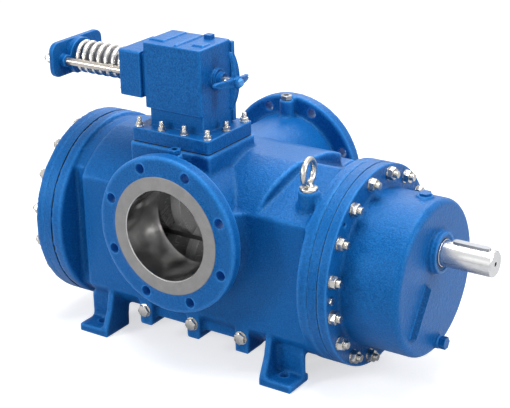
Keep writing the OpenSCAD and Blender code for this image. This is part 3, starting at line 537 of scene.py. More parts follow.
class Bench:
    """A mesh under work, in millimetres, with the operations that the pieces share."""

    def __init__(self) -> None:
        """Starts with an empty mesh."""
        self.bm = bmesh.new()

    def join(self, part: bmesh.types.BMesh, base: Matrix, metal: int = 0) -> None:
        """Merges a part's doubles, turns it outwards, puts it in place and adds it to the work.

        Args:
            part: The part, which ends here.
            base: Where its origin and axes go.
            metal: Index of the finish on its faces.
        """
        bmesh.ops.remove_doubles(part, verts=part.verts, dist=WELD_MM)
        bmesh.ops.recalc_face_normals(part, faces=part.faces)
        for face in part.faces:
            face.material_index = metal
        carrier = bpy.data.meshes.new("carrier")
        part.to_mesh(carrier)
        part.free()
        self.stamp(carrier, [base])

    def lathe(
        self, profile: Sequence[Point], base: Matrix, steps: int = 64, closed: bool = False, metal: int = 0
    ) -> None:
        """Turns a profile about the axis of a placing matrix.

        Args:
            profile: Points of radius and height.
            base: Where the axis starts and points.
            steps: Facets round the axis.
            closed: Whether the last point joins the first, as for a ring.
            metal: Index of the finish on the new faces.
        """
        part = bmesh.new()
        points = [part.verts.new((r, 0, z)) for r, z in profile]
        pairs = list(zip(points, points[1:])) + ([(points[-1], points[0])] if closed else [])
        lines = [part.edges.new(pair) for pair in pairs]
        bmesh.ops.spin(
            part, geom=points + lines, cent=(0, 0, 0), axis=(0, 0, 1),
            angle=FULL_TURN, steps=steps, use_merge=True,
        )
        self.join(part, base, metal)

    def stamp(self, pattern: Mesh, places: Iterable[Matrix]) -> None:
        """Adds a copy of a mesh at each place.

        Args:
            pattern: The mesh, in millimetres.
            places: Placing matrices.
        """
        for place in places:
            copy = pattern.copy()
            copy.transform(place)
            self.bm.from_mesh(copy)
            bpy.data.meshes.remove(copy)

    def rod(self, radius: float, length: float, base: Matrix, steps: int = 32) -> None:
        """Adds a plain cylinder that stands on a placing matrix."""
        self.lathe([(0, 0), (radius, 0), (radius, length), (0, length)], base, steps)

    def block(self, low: Spot, high: Spot) -> None:
        """Adds a box.

        Args:
            low: The corner with the least coordinates.
            high: The corner with the greatest.
        """
        part = bmesh.new()
        size = [b - a for a, b in zip(low, high)]
        middle = [(a + b) / 2 for a, b in zip(low, high)]
        bmesh.ops.create_cube(part, size=1, matrix=Matrix.Diagonal((*size, 1)))
        self.join(part, Matrix.Translation(middle))

    def wind(self, geometry: list, turns: float, rise: float, steps: int) -> list:
        """Sweeps geometry along a helix about Z.

        Args:
            geometry: Vertices and edges of the section.
            turns: How many turns it makes.
            rise: How far it climbs.
            steps: How many steps it takes.

        Returns:
            The geometry of the last section.
        """
        step, angle = (0, 0, rise / steps), FULL_TURN * turns
        return bmesh.ops.spin(
            self.bm, geom=geometry, cent=(0, 0, 0), axis=(0, 0, 1), dvec=step, angle=angle, steps=steps
        )["geom_last"]

    def cap(self) -> None:
        """Closes the open ends of a sweep."""
        bmesh.ops.holes_fill(self.bm, edges=[e for e in self.bm.edges if e.is_boundary], sides=0)

    def mesh(self, name: str) -> Mesh:
        """Ends the work.

        Args:
            name: Name of the mesh.

        Returns:
            The work as a mesh, still in millimetres.
        """
        made = bpy.data.meshes.new(name)
        self.bm.to_mesh(made)
        self.bm.free()
        return made

    def metres(self, name: str) -> Mesh:
        """Returns the work as a mesh in metres and ends it."""
        bmesh.ops.scale(self.bm, vec=(MM, MM, MM), verts=self.bm.verts)
        return self.mesh(name)

    def piece(
        self, name: str, body: Body, finishes: Sequence[Finish], nodes: Sequence[str] = (), smooth: float = 35
    ) -> Object:
        """Ends the work as a piece of the scene; settle says what the arguments are."""
        return settle(self.metres(name), name, body, finishes, nodes, smooth)


def settle(
    mesh: Mesh,
    name: str,
    body: Body,
    finishes: Sequence[Finish],
    nodes: Sequence[str],
    smooth: float,
) -> Object:
    """Links a finished mesh in metres as a piece.

    Args:
        mesh: The mesh, placed.
        name: The piece's name.
        body: The CAD body that it rides on.
        finishes: Its finishes, by material index.
        nodes: CAD nodes that it stands for.
        smooth: Edges flatter than this many degrees are shaded smooth.

    Returns:
        The piece's object.
    """
    for finish in finishes:
        mesh.materials.append(finish.material())
    mesh.shade_smooth()
    mesh.set_sharp_from_angle(angle=math.radians(smooth))
    made = linked(bpy.data.objects.new(name, mesh))
    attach(made, body.value)
    if nodes:
        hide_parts(*nodes)
    LOG.info("%s: %d faces on %s", name, len(mesh.polygons), body.value)
    return made


def dress(node: str, finish: Finish) -> None:
    """Gives a CAD node that stays a finish.

    Args:
        node: The node's name.
        finish: The finish.
    """
    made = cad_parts[node]
    for slot in made.material_slots:
        slot.material = finish.material()
    LOG.info("%s keeps its CAD shape, in %s", node, finish.name)


# Castings


@dataclass
class Casting:
    """A painted sand casting: the CAD solid with its edges and corners run together as in a mould.

    holes adds the cylinders of the bolt holes, extras adds forms that the solid lacks, inside tells which
    spots wear the second finish, and limits hold an axis with the least and greatest place of the skin.
    """

    node: str
    voxel: float
    passes: int
    triangles: int
    body: Body = Body.PUMP
    holes: Callable[[Bench, float], None] | None = None
    limits: tuple[tuple[int, float, float], ...] = ()
    inside: Callable[[Vector], bool] | None = None
    finishes: tuple[Finish, ...] = (MOULDED,)
    extras: Callable[[Bench], None] | None = None
    plug_over: float = 0.4

    def build(self) -> None:
        """Makes the casting."""
        mesh = self._melted()
        self._trim(mesh)
        if self.holes is not None or 2 * len(mesh.polygons) > self.triangles:
            mesh = self._finished(mesh)
        mesh.materials.clear()
        if self.inside is not None:
            for face in mesh.polygons:
                face.material_index = int(self.inside(face.center / MM))
        settle(mesh, f"{self.node}_cast", self.body, self.finishes, (self.node,), 50)

    def _melted(self) -> Mesh:
        """Runs the edges of the CAD solid together, with its bolt holes plugged.

        Returns:
            One skin with soft edges.
        """
        bm = bmesh.new()
        bm.from_mesh(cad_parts[self.node].data)
        bmesh.ops.remove_doubles(bm, verts=bm.verts, dist=CAD_WELD_M)
        forms = Bench()
        if self.holes is not None:
            self.holes(forms, self.plug_over)
        if self.extras is not None:
            self.extras(forms)
        bm.from_mesh(forms.metres("forms"))
        mesh = bpy.data.meshes.new(self.node)
        bm.to_mesh(mesh)
        bm.free()
        work = linked(bpy.data.objects.new("work", mesh))
        skin = work.modifiers.new("skin", "REMESH")
        skin.mode = "VOXEL"
        skin.voxel_size = self.voxel * MM
        soft = work.modifiers.new("soft", "SMOOTH")
        soft.factor = 0.5
        soft.iterations = self.passes
        return self._baked(work)

    @staticmethod
    def _baked(work: Object) -> Mesh:
        """Applies the modifiers of a work object.

        Args:
            work: The object, which is removed.

        Returns:
            Its mesh.
        """
        bpy.context.view_layer.update()
        graph = bpy.context.evaluated_depsgraph_get()
        made = bpy.data.meshes.new_from_object(work.evaluated_get(graph))
        bpy.data.objects.remove(work)
        return made

    def _trim(self, mesh: Mesh) -> None:
        """Keeps the skin inside the CAD node's box and its machined limits.

        Args:
            mesh: The skin, in metres.
        """
        low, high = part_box(self.node)
        for vertex in mesh.vertices:
            for axis in range(3):
                vertex.co[axis] = min(max(vertex.co[axis], low[axis]), high[axis])
            for axis, least, most in self.limits:
                vertex.co[axis] = min(max(vertex.co[axis], least * MM), most * MM)

    def _finished(self, mesh: Mesh) -> Mesh:
        """Drills the bolt holes and thins the skin to its number of triangles.

        Args:
            mesh: The skin, in metres.

        Returns:
            The finished skin.
        """
        work = linked(bpy.data.objects.new("work", mesh))
        tools = []
        if self.holes is not None:
            drills = Bench()
            self.holes(drills, 0.0)
            tools.append(linked(bpy.data.objects.new("drills", drills.metres("drills"))))
            cut = work.modifiers.new("cut", "BOOLEAN")
            cut.operation = "DIFFERENCE"
            cut.solver = "MANIFOLD"
            cut.object = tools[0]
        thin = work.modifiers.new("thin", "DECIMATE")
        thin.ratio = min(1.0, self.triangles / (2 * len(mesh.polygons)))
        made = self._baked(work)
        for tool in tools:
            bpy.data.objects.remove(tool)
        return made


@dataclass
class PumpCasing:
    """The main casting with its two ports, their faced rings and bored mouths.

    plug and drill hold how far behind the port face the cylinder of a bolt hole starts, and its length.
    """

    port_x: float = 18
    port_z: float = 316
    face_y: float = 258
    hole_circle: float = 147.5
    hole_r: float = 11
    hole_count: int = 8
    plug: Point = (33.3, 30.5)
    drill: Point = (45, 60)
    foot: Point = (243, 163)
    foot_t: float = 18
    foot_over: float = 6
    bore_r: float = 97.6
    ring_r: float = 128
    inner_y: float = 150
    axis_z: float = 236
    end_x: float = 265
    end_r: float = 143.5
    belly_r: float = 192
    belly_z: Point = (43, 381)
    ring_t: float = 3.1
    ring_edge: float = 0.8
    sleeve_t: float = 1
    step: float = 1.5

    def holes(self, bench: Bench, extra: float) -> None:
        """Adds the bolt holes of the port flanges and the feet.

        Args:
            bench: Takes the holes' cylinders.
            extra: How far plugs reach past a hole's wall, or 0 for drills, which run through both faces.
        """
        behind, length = self.plug if extra else self.drill
        for way, side in ((Heading.FRONT, -1), (Heading.REAR, 1)):
            for i in range(self.hole_count):
                turn = FULL_TURN * (i + 0.5) / self.hole_count
                x = self.port_x + self.hole_circle * math.cos(turn)
                z = self.port_z + self.hole_circle * math.sin(turn)
                bench.rod(self.hole_r + extra, length, way.at(x, side * (self.face_y - behind), z))
        low, height = (0, self.foot_t) if extra else (-self.foot_over, self.foot_t + 2 * self.foot_over)
        for sx in (-1, 1):
            for sy in (-1, 1):
                place = Heading.UP.at(sx * self.foot[0], sy * self.foot[1], low)
                bench.rod(self.hole_r + extra, height, place)

    def chamber(self, spot: Vector) -> bool:
        """Tells the inside of the casing from the outside.

        Args:
            spot: A spot of the skin.

        Returns:
            Whether it is on the inside.
        """
        if abs(spot.y) > self.inner_y - 1:
            return self.off_port(spot) < self.bore_r + 2
        tube = math.hypot(spot.y, spot.z - self.axis_z)
        if abs(spot.x) > self.end_x:
            return tube < self.end_r
        return tube < self.belly_r and self.belly_z[0] < spot.z < self.belly_z[1]

    def off_port(self, spot: Vector) -> float:
        """Returns a spot's distance from the axis of the ports."""
        return math.hypot(spot.x - self.port_x, spot.z - self.port_z)

    def build(self) -> None:
        """Makes the casting and the two port mouths."""
        rim = self.face_y - self.step
        Casting(
            "pump_casing",
            voxel=4.0,
            passes=5,
            triangles=170000,
            holes=self.holes,
            limits=((1, -rim, rim),),
            inside=self.chamber,
            finishes=(MOULDED, BARE),
        ).build()
        for way, name in ((Heading.FRONT, "front_port_mouth"), (Heading.REAR, "rear_port_mouth")):
            bench = Bench()
            depth = self.face_y - self.inner_y
            sleeve_r = self.bore_r + self.sleeve_t
            mouth = [
                (self.bore_r + self.step, depth),
                (self.ring_r - self.ring_edge, depth),
                (self.ring_r, depth - self.ring_edge),
                (self.ring_r, depth - self.ring_t),
                (sleeve_r, depth - self.ring_t),
                (sleeve_r, 0),
                (self.bore_r, 0),
                (self.bore_r, depth - self.step),
            ]
            side = -1 if way is Heading.FRONT else 1
            bench.lathe(mouth, way.at(self.port_x, side * self.inner_y, self.port_z), 128, closed=True)
            for face in bench.bm.faces:
                bored = self.off_port(face.calc_center_median()) < self.bore_r + 0.9 * self.sleeve_t
                face.material_index = int(bored)
            bench.piece(name, Body.PUMP, (FACED, BORE))


@dataclass
class DrumRib:
    """The slanting rib on the end face of the drum, with a narrow crest and flanks painted darker as painted
    shade.

    base and crest hold half the width and half the length, and steep is the lean at which a face is a flank.
    """

    spot: Spot = (507, -74, 190)
    slant: float = -35
    base: Point = (13.4, 59.4)
    crest: Point = (1.7, 52.3)
    height: float = 12.4
    sunk: float = 1
    steep: float = 0.5

    def build(self) -> None:
        """Makes the rib."""
        part = bmesh.new()
        corners = ((-1, -1), (1, -1), (1, 1), (-1, 1))
        low = [part.verts.new((x * self.base[0], y * self.base[1], -self.sunk)) for x, y in corners]
        high = [part.verts.new((x * self.crest[0], y * self.crest[1], self.height)) for x, y in corners]
        part.faces.new(low)
        part.faces.new(high)
        for i in range(4):
            j = (i + 1) % 4
            part.faces.new((low[i], low[j], high[j], high[i]))
        place = Heading.RIGHT.at(*self.spot) @ turned(self.slant)
        bench = Bench()
        bench.join(part, place)
        across = (place.to_3x3() @ Vector((1, 0, 0))).normalized()
        for face in bench.bm.faces:
            face.normal_update()
            # Steep faces are the flanks and wear the darker enamel as painted shade.
            face.material_index = int(abs(face.normal.dot(across)) > self.steep)
        bench.piece("drum_rib_ridge", Body.PUMP, (PAINT, SHADE_PAINT))


# Fasteners


@dataclass(frozen=True)
class Stud:
    """A stud end with its nut and washer, standing on a face."""

    radius: float
    nut_h: float
    reach: float
    washer: float = 1.6
    pitch: float = 1.75

    def pattern(self) -> Mesh:
        """Makes one stud end with its nut and washer.

        Returns:
            Their mesh about the origin, along Z.
        """
        bench = Bench()
        corner = self.radius * 1.73
        self.hexagon(bench, corner, self.washer, self.nut_h)
        bench.lathe(
            [(0, 0), (corner + 0.6, 0), (corner + 0.9, 0.3), (corner + 0.9, self.washer), (0, self.washer)],
            Matrix.Identity(4),
            32,
        )
        self.thread(bench, self.radius, self.nut_h - 1, self.reach)
        return bench.mesh("stud")

    def thread(self, bench: Bench, radius: float, low: float, high: float) -> None:
        """Adds a threaded end.

        Args:
            bench: Takes it.
            radius: Its outer radius.
            low: Where it starts.
            high: Where it ends.
        """
        deep = 0.61 * self.pitch
        turns = int((high - low - 1) / self.pitch)
        points: list[Point] = [(0, low), (radius, low)]
        for i in range(turns):
            z = low + i * self.pitch
            groove = (radius - deep, z + 0.6 * self.pitch)
            points += [(radius, z + 0.2 * self.pitch), groove, (radius, z + self.pitch)]
        points += [(radius, high - 1), (radius - 1, high), (0, high)]
        bench.lathe(points, Matrix.Identity(4), 24)

    @staticmethod
    def hexagon(bench: Bench, corner: float, low: float, high: float) -> None:
        """Adds a hexagon with turned corners.

        Args:
            bench: Takes it.
            corner: Radius of its corners.
            low: Height of its lower face.
            high: Height of its upper face.
        """
        part = bmesh.new()
        cut = 0.13 * corner
        rim = cut * 0.577
        ring = [(0, low), (corner - cut, low), (corner, low + rim)]
        ring += [(corner, high - rim), (corner - cut, high), (0, high)]
        tool = Bench()
        tool.lathe(ring, Matrix.Identity(4), 36)
        part.from_mesh(tool.mesh("blank"))
        flat = corner * math.cos(math.radians(30))
        for i in range(6):
            turn = math.radians(60 * i + 30)
            way = Vector((math.cos(turn), math.sin(turn), 0))
            everything = part.verts[:] + part.edges[:] + part.faces[:]
            made = bmesh.ops.bisect_plane(
                part, geom=everything, dist=WELD_MM, plane_co=way * flat, plane_no=way, clear_outer=True
            )
            lines = [g for g in made["geom_cut"] if isinstance(g, bmesh.types.BMEdge)]
            bmesh.ops.holes_fill(part, edges=lines, sides=0)
        bench.join(part, Matrix.Identity(4))


@dataclass
class Fastenings:
    """All studs, bolts, plugs and the lifting eye of the outside."""

    axis_z: float = 236
    cover_stud: Stud = Stud(8, 13.6, 22, pitch=2)
    stud_circle: float = 195
    stud_count: int = 16
    cover_x: float = 375
    valve_stud: Stud = Stud(5, 8.5, 20, washer=1.2, pitch=1.25)
    valve_columns: tuple[float, ...] = (-115.5, -57.5, 0.5, 58.5)
    valve_rows: tuple[float, ...] = (-152, -85, -18)
    valve_z: float = 501.5
    plug_corner: float = 13.84
    plug_h: float = 9
    lug_xs: tuple[float, ...] = (-114, 14, 141)
    lug_y: float = -170
    lug_z: float = 80
    port_plug: Spot = (18, 210, 482)
    seal_inner: float = 27.7
    seal_lip: float = 2.6
    seal_recess: float = 2
    jack_corner: float = 8.65
    jack_h: float = 7
    jack_y: float = -198
    eye: Spot = (280, -120, 425)
    eye_up: float = 37.5
    eye_turn: float = 7
    eye_r: float = 25
    eye_wire: float = 6.5
    turns: tuple[float, ...] = (4, 17, 31, 9, 25, 12, 38, 21, 2, 33, 14, 28, 7, 19, 35, 11)

    def build(self) -> None:
        """Makes every set of fastenings."""
        self.cover_studs()
        self.valve_studs()
        self.plugs_and_bolts()
        self.lifting_eye()
        self.jack_screw()
        self.lip_seal()

    def cover_studs(self) -> None:
        """Makes the ring of studs of each end."""
        ends = ((Heading.RIGHT, 1, "drive_end_studs"), (Heading.LEFT, -1, "non_drive_end_studs"))
        for way, side, node in ends:
            bench = Bench()
            pattern = self.cover_stud.pattern()
            places = []
            for i in range(self.stud_count):
                turn = math.radians((i + 0.5) * 360 / self.stud_count)
                y = self.stud_circle * math.cos(turn) * side
                z = self.axis_z + self.stud_circle * math.sin(turn)
                spin = turned(self.turns[i])
                places.append(way.at(side * self.cover_x, y, z) @ spin)
            bench.stamp(pattern, places)
            bench.piece(f"{node}_nuts", Body.PUMP, (ZINC,), (node,))

    def valve_studs(self) -> None:
        """Makes the ten studs that hold the relief valve."""
        bench = Bench()
        pattern = self.valve_stud.pattern()
        places = []
        for i, x in enumerate(self.valve_columns):
            for j, y in enumerate(self.valve_rows):
                if i in (0, 3) or j != 1:
                    spin = turned(self.turns[i + 4 * j])
                    places.append(Heading.UP.at(x, y, self.valve_z) @ spin)
        bench.stamp(pattern, places)
        bench.piece("valve_stud_nuts", Body.PUMP, (ZINC,), ("valve_studs",))

    def plugs_and_bolts(self) -> None:
        """Makes the hexagon bolts on the lugs and the plugs on the ports."""
        lugs = Bench()
        part = Bench()
        Stud.hexagon(part, self.plug_corner, 0, self.plug_h)
        part.rod(15, 1.2, Matrix.Identity(4))
        spots = zip(self.lug_xs, self.turns)
        places = [Heading.FRONT.at(x, self.lug_y, self.lug_z) @ turned(turn) for x, turn in spots]
        lugs.stamp(part.mesh("bolt"), places)
        lugs.piece("lug_bolt_heads", Body.PUMP, (ZINC,), ("lug_bolts",))
        ports = Bench()
        part = Bench()
        Stud.hexagon(part, self.plug_corner, 0, self.plug_h)
        part.rod(6, 2, Matrix.Translation((0, 0, self.plug_h - 2)), 24)
        x, y, z = self.port_plug
        ports.stamp(part.mesh("plug"), [Heading.UP.at(x, side * y, z) for side in (-1, 1)])
        for face in ports.bm.faces:
            face.material_index = int(face.calc_center_median().y < 0)
        ports.piece("port_plug_heads", Body.PUMP, (DARK, PAINT), ("port_plugs",))

    def lip_seal(self) -> None:
        """Makes the seal round the shaft: a painted rim and a narrow rubber lip."""
        low, high = (Vector(corner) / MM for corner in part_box("shaft_lip_seal"))
        outer = (high.z - low.z) / 2
        inner = self.seal_inner
        lip = inner + self.seal_lip
        depth = high.x - low.x
        inset = depth - self.seal_recess
        base = Heading.RIGHT.at(low.x, 0, (high.z + low.z) / 2)
        bench = Bench()
        bench.lathe([(lip, 0), (outer, 0), (outer, depth), (lip, depth)], base, 64, closed=True)
        bench.lathe([(inner, 0), (lip, 0), (lip, inset), (inner, inset)], base, 64, closed=True, metal=1)
        bench.piece("shaft_seal_rim", Body.PUMP, (PAINT, RUBBER), ("shaft_lip_seal",))

    def jack_screw(self) -> None:
        """Makes the jacking screw in the flange of the gear case cover."""
        bench = Bench()
        part = Bench()
        Stud.hexagon(part, self.jack_corner, 0, self.jack_h)
        bench.stamp(part.mesh("screw"), [Heading.RIGHT.at(self.cover_x, self.jack_y, self.axis_z)])
        bench.piece("jack_screw_head", Body.PUMP, (ZINC,), ("jack_screw",))

    def lifting_eye(self) -> None:
        """Makes the forged lifting eye with its collar."""
        bench = Bench()
        base = Heading.UP.at(*self.eye)
        collar = [(0, -2), (18.4, -2), (19, -1.4), (19, 4.8), (17.8, 6)]
        bench.lathe(collar + [(15, 6.4), (12, 8), (10, 11), (9, 17), (0, 17)], base, 48)
        ring = base @ Matrix.Translation((0, 0, self.eye_up))
        for degrees, axis in ((self.eye_turn, "Z"), (90, "Y")):
            ring = ring @ turned(degrees, axis)
        wire = arc((self.eye_r, 0), self.eye_wire, 0, 360, 20)[:-1]
        bench.lathe(wire, ring, 64, closed=True)
        bench.piece("lifting_eye", Body.PUMP, (ZINC,), ("eye_bolt",), smooth=50)


# Rotors


@dataclass
class Screws:
    """The two pairs of mirrored screws, seen through the front port.

    land, tip_edge, foot_edge and flank are angles, in degrees.
    """

    radius: float = 88
    root: float = 35.5
    land: float = 152
    turns: float = 3
    lead: float = 60
    gap: float = 10
    tip_drop: float = 1.2
    tip_edge: float = 0.9
    foot_rise: float = 3
    foot_edge: float = 3.5
    flank: float = 1
    drive_z: float = 298
    idler_z: float = 174
    steps_a_turn: int = 72

    def outline(self) -> list[Point]:
        """Draws the thread across the shaft: its land and its root, with eased edges.

        Returns:
            The outline, once round.
        """
        half = self.land / 2
        edge = half - self.tip_edge
        toe = half + self.foot_edge
        shoulder = self.radius - self.tip_drop
        foot = self.root + self.foot_rise
        flank = half + self.flank
        land = [polar(shoulder, -half), *arc((0, 0), self.radius, -edge, edge, 40), polar(shoulder, half)]
        root = [polar(foot, flank), *arc((0, 0), self.root, toe, 360 - toe, 24), polar(foot, 360 - flank)]
        return land + root

    def screw(self, flip_x: bool, flip_y: bool, z: float) -> Bench:
        """Winds one screw.

        Args:
            flip_x: Whether it is the right-hand half of the shaft.
            flip_y: Whether it is on the idler shaft.
            z: Height of the shaft.

        Returns:
            The bench with the screw on it.
        """
        bench = Bench()
        length = self.turns * self.lead
        steps = int(self.turns * self.steps_a_turn)
        points = [bench.bm.verts.new((x, y, 0)) for x, y in self.outline()]
        lines = [bench.bm.edges.new((a, b)) for a, b in zip(points, points[1:] + points[:1])]
        bench.bm.faces.new(points)
        bench.wind(points + lines, self.turns, length, steps)
        bench.cap()
        bmesh.ops.triangulate(bench.bm, faces=[f for f in bench.bm.faces if len(f.verts) > 4])
        start = turned(-90 - 360 * self.turns)
        place = Heading.RIGHT.at(-self.gap / 2 - length, 0, 0) @ start
        flips = Matrix.Diagonal((-1 if flip_x else 1, -1 if flip_y else 1, 1, 1))
        bench.bm.transform(Matrix.Translation((0, 0, z)) @ flips @ place)
        bmesh.ops.recalc_face_normals(bench.bm, faces=bench.bm.faces)
        return bench

    def build(self) -> None:
        """Makes the four screws."""
        for body, z, flip_y in ((Body.DRIVE, self.drive_z, False), (Body.IDLER, self.idler_z, True)):
            stem = "drive" if body is Body.DRIVE else "idler"
            for side, flip_x in (("left", False), ("right", True)):
                node = f"{stem}_screw_{side}"
                bench = self.screw(flip_x, flip_y, z)
                bench.piece(f"{node}_thread", body, (GROUND,), (node,), smooth=40)


# Relief valve


@dataclass
class ReliefValve:
    """The spring loaded valve on top: castings, spring, rods and gland."""

    axis_y: float = -86
    axis_z: float = 609.5
    spring_left: float = -317.3
    spring_right: float = -177.3
    lift: float = 12
    coil_r: float = 31
    wire: float = 5
    coils: float = 7
    end_turns: float = 0.8
    end_pitch: float = 1.35
    wire_sides: int = 20
    steps_a_turn: int = 40
    box_top: float = 680.5
    rod_right: float = -153
    rod_y: float = 50
    rod_radii: tuple[float, float, float, float] = (6, 8, 6.8, 9.6)
    gland_x: float = 43

    def build(self) -> None:
        """Makes the valve's pieces."""
        Casting("valve_body", voxel=1.6, passes=3, triangles=150000, extras=self.body_forms).build()
        Casting("spring_bonnet", voxel=1.5, passes=4, triangles=80000).build()
        Casting("spring_end_plate", voxel=1.2, passes=3, triangles=40000).build()
        self.spring()
        self.rods()
        self.gland()

    def body_forms(self, bench: Bench) -> None:
        """Adds the foot under the right face and the square boss of the top."""
        bench.block((14, -136, 501.5), (38, -31, 546))
        bench.block((2, -116, self.box_top - 3), (30, -90, self.box_top + 4))

    def rods(self) -> None:
        """Turns the two tie rods, with a groove and a collar near the bonnet and threaded tails."""
        thin, thick, groove, collar = self.rod_radii
        profile = [(0, 0), (thin, 0), (thin, 14), (thick, 14), (thick, 35), (groove, 36), (groove, 40)]
        profile += [(thick, 41), (thick, 44), (collar, 45), (collar, 50), (thick, 51), (thick, 164.6)]
        rod = Bench()
        rod.lathe(profile + [(thin, 164.6), (thin, 189), (0, 189)], Matrix.Identity(4), 32)
        Stud(thin, 0, 0, pitch=1.25).thread(rod, thin, 188, 226.6)
        pattern = rod.mesh("rod")
        bench = Bench()
        sides = (-self.rod_y, self.rod_y)
        bench.stamp(pattern, [Heading.LEFT.at(self.rod_right, self.axis_y + y, self.axis_z) for y in sides])
        bench.piece("tie_rod_pair", Body.PUMP, (ROD,), ("tie_rods",))

    def gland(self) -> None:
        """Turns the flat gland ring and the small follower in it."""
        ring = [(8.3, -11), (12.9, -11), (12.9, 0), (21.2, 0), (22, 0.8), (22, 3.6), (21.2, 4.4)]
        ring += [(16, 4.4), (15.2, 5.2), (15.2, 15.6), (14.2, 17), (8.3, 17)]
        bench = Bench()
        bench.lathe(ring, Heading.RIGHT.at(self.gland_x, self.axis_y, self.axis_z), 48, closed=True)
        bench.piece("gland_ring", Body.PUMP, (PAINT,), ("gland",))

    def spring(self) -> None:
        """Winds the spring, with closed end turns."""
        bench = Bench()
        bm = bench.bm
        length = self.spring_right - self.spring_left - 2 * self.wire
        section = arc((self.coil_r, 0), self.wire, 0, 360, self.wire_sides)[:-1]
        ring = [bm.verts.new((x, 0, z)) for x, z in section]
        geometry: list = ring + [bm.edges.new((a, b)) for a, b in zip(ring, ring[1:] + ring[:1])]
        bm.faces.new(ring)
        rise = self.end_pitch * self.wire * 2 * self.end_turns
        middle = self.coils - 2 * self.end_turns
        for turns, height in ((self.end_turns, rise), (middle, length - 2 * rise), (self.end_turns, rise)):
            geometry = bench.wind(geometry, turns, height, round(turns * self.steps_a_turn))
        bmesh.ops.remove_doubles(bm, verts=bm.verts, dist=WELD_MM)
        bench.cap()
        bmesh.ops.recalc_face_normals(bm, faces=bm.faces)
        bm.transform(Heading.RIGHT.at(self.spring_left + self.wire, self.axis_y, self.axis_z))
        made = bench.piece("relief_spring_coil", Body.PUMP, (SPRING_ZINC,), ("relief_spring",), smooth=60)
        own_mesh(made)


@dataclass
class Handle:
    """The valve's handwheel: four drooping arms on a hub, with the nut let into it.

    widths and depths hold half the width and half the depth of an arm at its root and at its end.
    """

    hub: Spot = (79, -86, 609.5)
    hub_r: float = 13
    arms: int = 4
    turn: float = -4
    start: float = 5
    length: float = 54.5
    rise: float = 8
    droop: float = 12
    curve: float = 2.2
    widths: Point = (9, 5.5)
    depths: Point = (5, 3.8)
    tip: float = 0.86
    steps: int = 16

    def build(self) -> None:
        """Makes the handwheel."""
        pattern = self.arm()
        bench = Bench()
        base = Heading.RIGHT.at(*self.hub)
        turns = [360 / self.arms * i + self.turn for i in range(self.arms)]
        bench.stamp(pattern, [base @ turned(turn) for turn in turns])
        r = self.hub_r
        bench.lathe([(0, 0), (r - 0.6, 0), (r, 0.6), (r, 14), (11.6, 17), (9.5, 18), (0, 18)], base, 48)
        # The cap over the nut wears the lighter enamel as a painted highlight.
        bench.lathe([(0, 17), (8.8, 17), (8.6, 21.6), (6.4, 24), (0, 24.6)], base, 48, metal=1)
        bench.piece("lifting_handle", Body.WHEEL, (PAINT, HIGHLIGHT_PAINT), ("handwheel", "handwheel_nut"))

    def arm(self) -> Mesh:
        """Makes one arm.

        Returns:
            Its mesh, which points along X.
        """
        part = bmesh.new()
        rows = [self.section(part, i / self.steps) for i in range(self.steps + 1)]
        for near, far in zip(rows, rows[1:]):
            for j in range(len(near)):
                k = (j + 1) % len(near)
                part.faces.new((near[j], near[k], far[k], far[j]))
        part.faces.new(rows[0])
        part.faces.new(rows[-1])
        bench = Bench()
        bench.join(part, Matrix.Identity(4))
        return bench.mesh("arm")

    def section(self, part: bmesh.types.BMesh, t: float) -> list[bmesh.types.BMVert]:
        """Adds the corners of one section, with two raised rims.

        Args:
            part: Takes them.
            t: Share of the arm's length where the section is.

        Returns:
            The corners in order.
        """
        half = self.widths[0] + (self.widths[1] - self.widths[0]) * t
        half *= math.sqrt(1 - max(0.0, (t - self.tip) / (1.01 - self.tip)) ** 2)
        deep = self.depths[0] + (self.depths[1] - self.depths[0]) * t
        rim = min(1.6, half * 0.3)
        lip = min(3.4, half * 0.6)
        low = deep - 2.4
        corners = [(-half, -deep), (-half, deep - 1), (rim - half, deep), (lip - half, low)]
        corners += [(half - lip, low), (half - rim, deep), (half, deep - 1), (half, -deep)]
        x = self.start + self.length * t
        z = self.rise - self.droop * t**self.curve
        return [part.verts.new((x, y, z + up)) for y, up in corners]


# Nodes that stay, and the studio


KEPT: dict[Finish, tuple[str, ...]] = {
    PAINT: ("drive_end_bracket", "non_drive_end_bracket", "valve_top_plug", "drain_plug", "filler_plug"),
    ZINC: ("bonnet_bolts", "tie_rod_nuts"),
    TURNED: ("drive_shaft", "idler_shaft", "relief_stem", "lifting_spindle"),
    GROUND: ("screw_liner",),
    DARK: (
        "coupling_key", "bearing_outer_rings", "drive_end_clamp_plate", "non_drive_end_clamp_plate",
        "drive_gear", "drive_gear_key", "drive_bearing_rings", "drive_lock_nuts",
        "idler_gear", "idler_gear_key", "idler_bearing_rings", "idler_lock_nuts",
        "spring_plate", "seal_seats",
    ),
    BRONZE: ("drive_seal_rings", "idler_seal_rings", "valve_seat_ring", "relief_disc", "spindle_tip"),
    RUBBER: ("gland_packing",),
    FIBRE: ("drive_end_gaskets", "non_drive_end_gaskets", "valve_gasket"),
}


